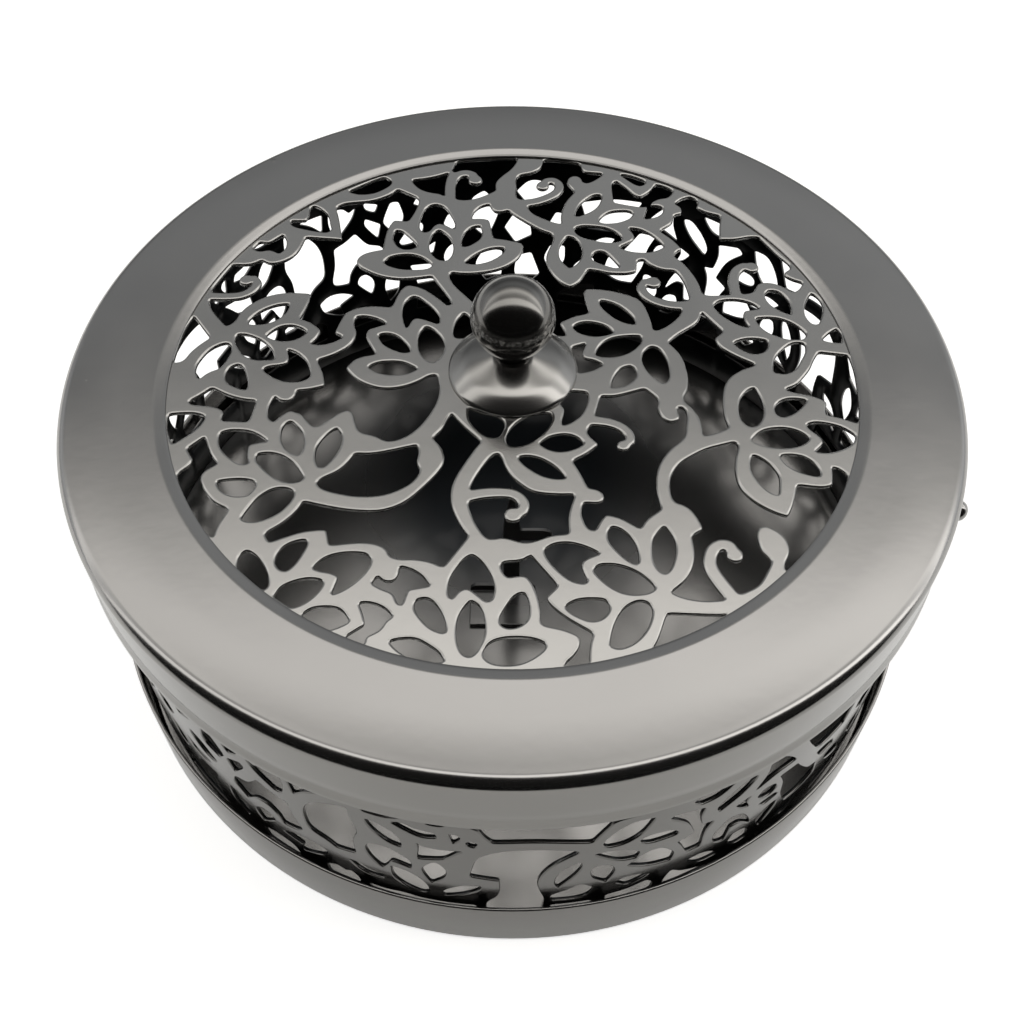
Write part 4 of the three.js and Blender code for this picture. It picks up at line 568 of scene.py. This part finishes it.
def fill_between(form, lean, borders, up):
    """Fills the sheet's side of a face's border rings with triangles. The sheet lies on the
    left of each ring, and a place where two borders cross gets a point of its own."""
    verts = [vert for border in borders for vert in border]
    places, rows = joined_rings([[vert.co.xy for vert in border] for border in borders])
    coords, edges, faces, vert_ids, edge_ids, _ = delaunay_2d_cdt(places, rows, [], 0, join_gap)
    ahead = set()
    for edge, ids in zip(edges, edge_ids):
        for k in (k for k in ids if k < len(rows)):
            along = places[rows[k][1]] - places[rows[k][0]]
            forward = along.dot(coords[edge[1]] - coords[edge[0]]) > 0
            ahead.add(tuple(edge) if forward else tuple(edge)[::-1])
    sides = {(face[k], face[(k + 1) % 3]): n for n, face in enumerate(faces) for k in range(3)}
    queue = [n for side, n in sides.items() if side in ahead]
    sheet = set(queue)
    while queue:
        face = faces[queue.pop()]
        for k in range(3):
            side, back = (face[k], face[(k + 1) % 3]), (face[(k + 1) % 3], face[k])
            other = sides.get(back)
            if side in ahead or back in ahead:
                continue
            if other is not None and other not in sheet:
                sheet.add(other)
                queue.append(other)
    made = []
    for place, ids in zip(coords, vert_ids):
        if ids:
            made.append(verts[ids[0]])
        else:
            made.append(form.verts.new((*place, verts[0].co.z)))
            made[-1][lean] = (0, 0, 1 if up else -1)
    for n in sheet:
        corners = [made[k] for k in faces[n]]
        form.faces.new(corners if up else corners[::-1])


# The eased edge from the face down the cut: share of the inset, share of the drop, and how far
# the surface leans over there in degrees. The lower face's edge is eased less.
edge_steps = [(1.0, 0.0, 0.0), (0.55, 0.07, 20.0), (0.2, 0.32, 52.0), (0.0, 0.8, 90.0)]
under_rise, under_inset, under_lean = 0.3, 0.25, 165.0


def sheet_form(rings, thickness, edge, spread):
    """A cut-out sheet with eased edges, in millimetres. spread lays each ring point out on the
    flat plane where the faces are filled."""
    form = bmesh.new()
    lean = form.verts.layers.float_vector.new("lean")
    half = thickness / 2
    rows_through = [(-edge * inset, half - edge * drop, degrees)
                    for inset, drop, degrees in edge_steps]
    rows_through += [(0.0, edge * under_rise - half, 90.0)]
    rows_through += [(-edge * under_inset, -half, under_lean)]
    uppers, lowers = [], []
    normals = [ring_normals(ring) for ring in rings]
    for ring, normal, shares in zip(rings, normals, inset_shares(rings, normals, edge)):
        count = len(ring)
        rows = []
        for offset, level, degrees in rows_through:
            tilt = math.radians(degrees)
            row = []
            for point, away, share in zip(ring, normal, shares):
                vert = form.verts.new(spread(*(point + away * offset * share), level))
                vert[lean] = (*(away * math.sin(tilt)), math.cos(tilt))
                row.append(vert)
            rows.append(row)
        for high, low in zip(rows, rows[1:]):
            for i in range(count):
                j = (i + 1) % count
                form.faces.new((high[i], low[i], low[j], high[j]))
        uppers.append(rows[0])
        lowers.append(rows[-1])
    fill_between(form, lean, uppers, True)
    fill_between(form, lean, lowers, False)
    return form


def sheet_piece(name, form, place, material):
    """Sets a flat sheet in space, with the normals that its eased edges need."""
    lean = form.verts.layers.float_vector["lean"]
    form.verts.index_update()
    normals = []
    for vert in form.verts:
        vert.co, normal = place(vert.co.copy(), vert[lean])
        normals.append(normal.normalized())
    for face in form.faces:
        face.smooth = True
    form.verts.layers.float_vector.remove(lean)
    mesh = bpy.data.meshes.new(name)
    form.to_mesh(mesh)
    form.free()
    mesh.materials.append(material)
    mesh.normals_split_custom_set_from_vertices(normals)
    piece = bpy.data.objects.new(name, mesh)
    bpy.context.scene.collection.objects.link(piece)
    return piece


# For both sheets: the bend in degrees from which a corner stays a corner, how widely the lacquer
# softens it, how far inside a face its points may lie, and how near a fold counts as on it.
cut_corner = 55.0
cut_blur = 0.36
face_play = 0.1
bend_snap = 0.00001

wall_low, wall_high = (corner.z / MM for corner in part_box("wall_strip"))
wall_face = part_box("wall_strip")[1].x / MM
wall_sheet = 0.7
wall_edge = 0.3
wall_spacing = 0.5
wall_steps = 720
wall_fold = math.radians(3)
wall_middle = wall_face - wall_sheet / 2


def wall_flat(ring):
    """The wall's points as distance round and height."""
    turns = np.unwrap([math.atan2(co.y, co.x) for co in ring])
    return np.stack([turns * wall_middle, np.array([co.z for co in ring]) / MM], 1)


def wall_spread(x, y, level):
    """The wall laid out as a flat ring, its foot outwards."""
    turn = x / wall_middle
    reach = 2 * wall_middle - y
    return Vector((reach * math.cos(turn), reach * math.sin(turn), level))


def wall_place(co, lean):
    """From the flat ring to the round wall."""
    turn = math.atan2(co.y, co.x)
    around = Vector((-math.sin(turn), math.cos(turn), 0))
    out = Vector((math.cos(turn), math.sin(turn), 0))
    height = 2 * wall_middle - math.hypot(co.x, co.y)
    place = out * (wall_middle + co.z) + Vector((0, 0, height))
    return place * MM, around * lean[0] + Vector((0, 0, lean[1])) + out * lean[2]


def on_wall_face(co):
    """Whether a point lies on the wall's outer face."""
    return math.hypot(co.x, co.y) > (wall_middle - face_play) * MM


def fold_lines(form, starts_and_normals):
    """Cuts a flat sheet along the lines where it will bend."""
    for start, normal in starts_and_normals:
        everything = form.verts[:] + form.edges[:] + form.faces[:]
        bmesh.ops.bisect_plane(form, geom=everything, plane_co=start, plane_no=normal,
                               dist=bend_snap)


wall_rings = []
for ring in outline_rings("wall_strip", on_wall_face, wall_flat):
    if abs(ring[0][0] - ring[-1][0]) < wall_middle:
        wall_rings.append(soft_ring(ring, wall_spacing, cut_corner, cut_blur))
wall_rings = [ring for ring in wall_rings if ring is not None]
once_round = np.arange(wall_steps) * (math.tau * wall_middle / wall_steps)
ring_low = np.stack([once_round, np.full(wall_steps, wall_low)], 1)
ring_high = np.stack([once_round[::-1], np.full(wall_steps, wall_high)], 1)
wall_form = sheet_form([ring_low, ring_high] + wall_rings, wall_sheet, wall_edge, wall_spread)
wall_turns = [k * wall_fold for k in range(round(math.pi / wall_fold))]
fold_lines(wall_form, [((0, 0, 0), (-math.sin(turn), math.cos(turn), 0)) for turn in wall_turns])

# The wall's inside has painted shade, darker and duller, so its lacquer changes within the sheet.
wall_inside_shade = (wall_middle - 0.15, wall_middle + 0.1)
# The wall's tone is darker than the rest of the lacquer: painted shade on the wall.
wall_lacquer = pearl_lacquer("dark pearl lacquer on the wall", "#807F7E", 0.17, soft_peel,
                             soft_coat, "#303234", wall_inside_shade)
wall_strip = sheet_piece("cut_out_wall", wall_form, wall_place, wall_lacquer)
finish_piece(wall_strip, "box", "wall_strip")


# Lid panel. A flat disc of the same sheet, cut with flowers, leaves and curling stems, held
# under the rim's inner edge.
panel_sheet = 0.7
panel_edge = 0.42
panel_spacing = 0.45
panel_middle = panel_top / MM - panel_sheet / 2


def panel_flat(ring):
    """The panel's points in millimetres."""
    return np.array([(co.x, co.y) for co in ring]) / MM


def panel_spread(x, y, level):
    """The panel lies flat as it is."""
    return Vector((x, y, level))


def panel_place(co, lean):
    """From the flat sheet to the panel's height."""
    return (co + Vector((0, 0, panel_middle))) * MM, Vector(lean)


def on_panel_face(co):
    """Whether a point lies on the panel's upper face."""
    return co.z > panel_top - face_play * MM


panel_rings = [soft_ring(ring, panel_spacing, cut_corner, cut_blur)
               for ring in outline_rings("lid_panel", on_panel_face, panel_flat)]
panel_rings = [ring for ring in panel_rings if ring is not None]
panel_form = sheet_form(panel_rings, panel_sheet, panel_edge, panel_spread)
# The panel's tone is lighter than the rim's lacquer: painted light on the panel.
panel_lacquer = pearl_lacquer("dark pearl lacquer on the panel", "#B1B0AE", 0.2,
                              soft_peel, soft_coat)
lid_panel = sheet_piece("cut_out_lid_panel", panel_form, panel_place, panel_lacquer)
finish_piece(lid_panel, "lid", "lid_panel")


# Top band. A plain steel hoop inside the wall's top, which centres the lid.
band_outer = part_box("top_band")[1].x / MM
band_low, band_high = (corner.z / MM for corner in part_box("top_band"))
band_sheet = 0.8
band_edge = band_sheet / 2
band_profile = (
    bend(band_outer - band_edge, band_low + band_edge, band_edge, 180, 360)
    + bend(band_outer - band_edge, band_high - band_edge, band_edge, 0, 180)
)
top_band = turned_piece("top_band_hoop", band_profile, 192, box_lacquer)
finish_piece(top_band, "box", "top_band")


# Coil stand. One strip of sheet folded into a foot with a low lip and a pointed tongue with a
# round side tab, spot-welded to the pan's floor and lacquered with it.
stand_low, stand_high = (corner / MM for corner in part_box("coil_stand"))
stand_sheet = 0.8
stand_edge, stand_spacing, stand_corner, stand_blur = 0.3, 0.3, 30.0, 0.3
foot_left, foot_right = stand_low.x, 4.8
lip_top = stand_low.z + 2.2
lip_ease = 0.9
stand_bend = 0.7
bend_lines = 9
tongue_half = 1.6
tongue_top = 22.4
tab_low_height, tab_high_height, tab_reach = 18.6, 21.8, 7.6
fold_y = stand_high.y - stand_sheet / 2 - stand_bend
fold_z = stand_low.z + stand_sheet / 2 + stand_bend
foot_run = fold_y - stand_low.y
fold_run = stand_bend * math.pi / 2


def run_at(height):
    """Length along the strip at a height on the upright part."""
    return foot_run + fold_run + height - fold_z


tab_round = (tab_high_height - tab_low_height) / 2
tab_x, tab_y = tab_reach - tab_round, run_at(tab_low_height + tab_round)
stand_outline = [
    (foot_left, 0.0),
    (foot_right, 0.0),
    (foot_right, run_at(lip_top - lip_ease)),
    (foot_right - lip_ease, run_at(lip_top)),
    (tongue_half, run_at(lip_top)),
    (tongue_half, run_at(tab_low_height)),
    *bend(tab_x, tab_y, tab_round, -90, 90, 8),
    (tongue_half, run_at(tab_high_height)),
    (tongue_half, run_at(tongue_top)),
    (0.0, run_at(stand_high.z)),
    (-tongue_half, run_at(tongue_top)),
    (-tongue_half, run_at(lip_top)),
    (foot_left + lip_ease, run_at(lip_top)),
    (foot_left, run_at(lip_top - lip_ease)),
]


def stand_place(co, lean):
    """From the flat strip to the folded stand."""
    turn = min(math.pi / 2, max(0.0, (co.y - foot_run) / stand_bend))
    up = max(0.0, co.y - foot_run - fold_run)
    along = Vector((0, math.cos(turn), math.sin(turn)))
    out = Vector((0, -math.sin(turn), math.cos(turn)))
    start = Vector((0, stand_low.y + min(co.y, foot_run), fold_z))
    place = start - out * (stand_bend - co.z) + Vector((co.x, 0, up))
    return place * MM, Vector((lean[0], 0, 0)) + along * lean[1] + out * lean[2]


stand_ring = soft_ring(stand_outline, stand_spacing, stand_corner, stand_blur)
stand_form = sheet_form([stand_ring], stand_sheet, stand_edge, panel_spread)
stand_runs = [foot_run + fold_run * k / (bend_lines - 1) for k in range(bend_lines)]
fold_lines(stand_form, [((0, run, 0), (0, 1, 0)) for run in stand_runs])
coil_stand = sheet_piece("folded_coil_stand", stand_form, stand_place, box_lacquer)
finish_piece(coil_stand, "box", "coil_stand")


# Lid rim. A pressed steel ring: a narrow inner slope, a wide flat top, a round shoulder and a
# short skirt with a rolled hem.
rim_low, rim_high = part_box("lid_rim")
rim_top = rim_high.z / MM
rim_sheet = 0.7
rim_shoulder = 1.9
rim_outer = 73.8
rim_inner = 56.5
rim_step = 1.7
rim_crown = 0.26
crown_start = 64.0
shoulder_r, shoulder_z = rim_outer - rim_shoulder, rim_top - rim_crown - rim_shoulder
shoulder_end = 86.0

# The lip round the panel, and where the slope up from it starts and ends.
rim_lip = rim_top - rim_sheet - 0.02
lip_round = 0.15
slope_r, slope_z = rim_inner + 0.11, rim_lip + 0.3
slope_rise = rim_top - slope_z
slope_steps, crown_steps = 4, 8
flat_gap = 0.3

# The groove and the hem under the skirt. Each groove step is a height over the hem's top and a
# share of the groove's depth.
groove_depth = 0.15
groove_steps = [(4.2, 0.0), (2.8, 0.3), (1.7, 1.0), (1.35, 0.9)]
groove_inside = 1.4
hem_top = rim_top - 13.3
hem_low = rim_low.z / MM
hem_outer = rim_outer + 0.3
hem_round = 0.4
hem_corner = (hem_outer - 0.12, hem_top + 0.45)
skirt_inner = rim_outer - rim_sheet

# The row goes from the lip over the top and down the skirt, and is reversed at its end.
rim_profile = bend(rim_inner + lip_round, rim_lip + lip_round, lip_round, 270, 104)
for k in range(1, slope_steps + 1):
    share = k / slope_steps
    rim_profile.append((slope_r + rim_step * share, slope_z + slope_rise * share))
rim_profile.append((slope_r + rim_step + flat_gap, rim_top))
for k in range(crown_steps + 1):
    share = k / crown_steps
    crown_r = crown_start + (shoulder_r - crown_start) * share
    rim_profile.append((crown_r, rim_top - rim_crown * share ** 2))
rim_profile += bend(shoulder_r, shoulder_z, rim_shoulder, shoulder_end, 0, 16)
rim_profile += [(rim_outer - groove_depth * share, hem_top + up) for up, share in groove_steps]
rim_profile += [hem_corner]
rim_profile += bend(hem_outer - hem_round, hem_low + hem_round, hem_round, 0, -90, 8)
rim_profile += [(skirt_inner, hem_low), (skirt_inner - groove_depth, hem_top + groove_inside)]
rim_profile += bend(shoulder_r, shoulder_z, rim_shoulder - rim_sheet, 0, shoulder_end, 10)
rim_profile.reverse()
lid_rim = turned_piece("pressed_lid_rim", rim_profile, 256, lid_lacquer)
finish_piece(lid_rim, "lid", "lid_rim")


# Skirt stud. A small domed rivet head through the skirt, with its tail flattened inside.
def stud_matrix(angle_degrees, drop):
    """Lays a piece turned about Z on the skirt, pointing outwards."""
    tip = Matrix.Rotation(math.radians(90), 4, "Y")
    out = Matrix.Translation((rim_outer * MM, 0, (rim_top - drop) * MM))
    return Matrix.Rotation(math.radians(angle_degrees), 4, "Z") @ out @ tip


stud_angle, stud_drop = -19, 6.8
head_radius, head_low, head_height = 1.7, 0.35, 0.86
stud_profile = [(0.0, -1.1), (1.3, -1.1), (1.4, -1.0), (1.4, -0.9), (0.9, -0.9), (0.9, 0.2),
                (1.6, 0.2), (head_radius, head_low)]
stud_profile += [(r, head_low + z * head_height) for r, z in bend(0, 0, head_radius, 8, 90, 12)]
skirt_stud = turned_piece("domed_stud", stud_profile, 48, lid_lacquer)
skirt_stud.data.transform(stud_matrix(stud_angle, stud_drop))
finish_piece(skirt_stud, "lid", "skirt_stud")


# Knob ball. A cast ball with a short neck, in glossy dark lacquer, bored for the screw. It is
# drawn a little larger and lower than its solid.
knob_lacquer = pearl_lacquer("glossy dark lacquer on the knob", "#777674", 0.14, 0.1, 0.3)
ball_radius = 6.76
ball_centre = panel_top / MM + 11.85
neck_radius = 2.9
neck_low = panel_top / MM + 4.4
neck_ease = 0.2
neck_fillet = 0.25
neck_top = ball_centre - math.sqrt(ball_radius ** 2 - neck_radius ** 2) - neck_fillet
ball_start = -math.degrees(math.acos((neck_radius + neck_ease) / ball_radius))
bore = 1.85
bore_top = panel_top / MM + 6.6
ball_profile = [
    (bore, neck_low),
    (neck_radius - neck_ease, neck_low),
    (neck_radius, neck_low + neck_ease),
    (neck_radius, neck_top),
    *bend(0, ball_centre, ball_radius, ball_start, 90, 40),
    (0.0, bore_top),
    (bore, bore_top),
]
knob_ball = turned_piece("ball_knob", ball_profile, 96, knob_lacquer)
finish_piece(knob_ball, "knob", "knob_ball")


# Knob rose. A pressed, flared cup under the ball, in a lacquer like the lid's. Its points are
# radius and height over the panel, inwards along the top and outwards underneath.
rose_lift = panel_top / MM
rose_upper = [(10.45, 0.12), (10.6, 0.2), (10.6, 0.45), (10.52, 0.6), (10.2, 0.86), (9.6, 1.3),
              (9.0, 1.73), (8.4, 2.12), (7.9, 2.4), (7.4, 2.62), (6.9, 2.82), (6.2, 3.08),
              (5.4, 3.38), (4.6, 3.69), (4.0, 3.93), (3.6, 4.08), (3.2, 4.18), (2.9, 4.2),
              (bore, 4.2)]
rose_under = [(bore, 3.6), (3.3, 3.55), (5.0, 2.85), (7.3, 1.95), (8.7, 1.3), (9.6, 0.7),
              (10.0, 0.12)]
rose_profile = [(r, z + rose_lift) for r, z in rose_upper + rose_under]
rose_lacquer = pearl_lacquer("dark pearl lacquer on the rose", "#979694", 0.17, 0.2, 0.4)
knob_rose = turned_piece("pressed_rose", rose_profile, 128, rose_lacquer)
finish_piece(knob_rose, "knob", "knob_rose")


# Washer and screw. Bright zinc-plated steel under the panel, holding the knob.
plating, tree = new_material("zinc plating on the screw")
zinc = add_node(tree, "ShaderNodeBsdfPrincipled", None,
                {"Base Color": linear("#B9BABC"), "Metallic": 1.0, "Roughness": 0.32})
add_node(tree, "ShaderNodeOutputMaterial", None, {"Surface": zinc.outputs[0]})
washer_low, washer_high = (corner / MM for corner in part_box("knob_washer"))
washer_ease = 0.2
washer_profile = [
    (bore, washer_low.z),
    (washer_high.x - washer_ease, washer_low.z),
    (washer_high.x, washer_low.z + washer_ease),
    (washer_high.x, washer_high.z - washer_ease),
    (washer_high.x - washer_ease, washer_high.z),
    (bore, washer_high.z),
]
knob_washer = turned_piece("plated_washer", washer_profile, 64, plating)
finish_piece(knob_washer, "knob", "knob_washer")

# Screw. A slotted cheese-head screw, plated like the washer, driven up into the ball.
screw_low, screw_high = (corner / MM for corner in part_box("knob_screw"))
screw_shank = 1.75
screw_head_top = screw_low.z + 2.2
slot_half, slot_depth = 0.45, 1.1
screw_round, screw_ease, tip_ease = 0.8, 0.15, 0.4
screw_profile = [
    (0.0, screw_low.z),
    *bend(screw_high.x - screw_round, screw_low.z + screw_round, screw_round, -90, 0),
    (screw_high.x, screw_head_top - screw_ease),
    (screw_high.x - screw_ease, screw_head_top),
    (screw_shank, screw_head_top),
    (screw_shank, screw_high.z - tip_ease),
    (screw_shank - tip_ease, screw_high.z),
    (0.0, screw_high.z),
]
knob_screw = turned_piece("slotted_screw", screw_profile, 48, plating)
form = bmesh.new()
bmesh.ops.create_cube(form, size=1.0)
slot_size = Vector((3 * screw_high.x, 2 * slot_half, 2 * slot_depth)) * MM
bmesh.ops.scale(form, vec=slot_size, verts=form.verts)
bmesh.ops.translate(form, vec=(0, 0, screw_low.z * MM), verts=form.verts)
slot_mesh = bpy.data.meshes.new("screw slot")
slot_mesh.materials.append(plating)
form.to_mesh(slot_mesh)
form.free()
slot_cutter = bpy.data.objects.new("screw slot", slot_mesh)
bpy.context.scene.collection.objects.link(slot_cutter)
slotting = knob_screw.modifiers.new("slotting", "BOOLEAN")
slotting.object = slot_cutter
slotting.material_mode = "TRANSFER"
smooth_mesh(plain_mesh(knob_screw))
bpy.data.objects.remove(slot_cutter)
finish_piece(knob_screw, "knob", "knob_screw")
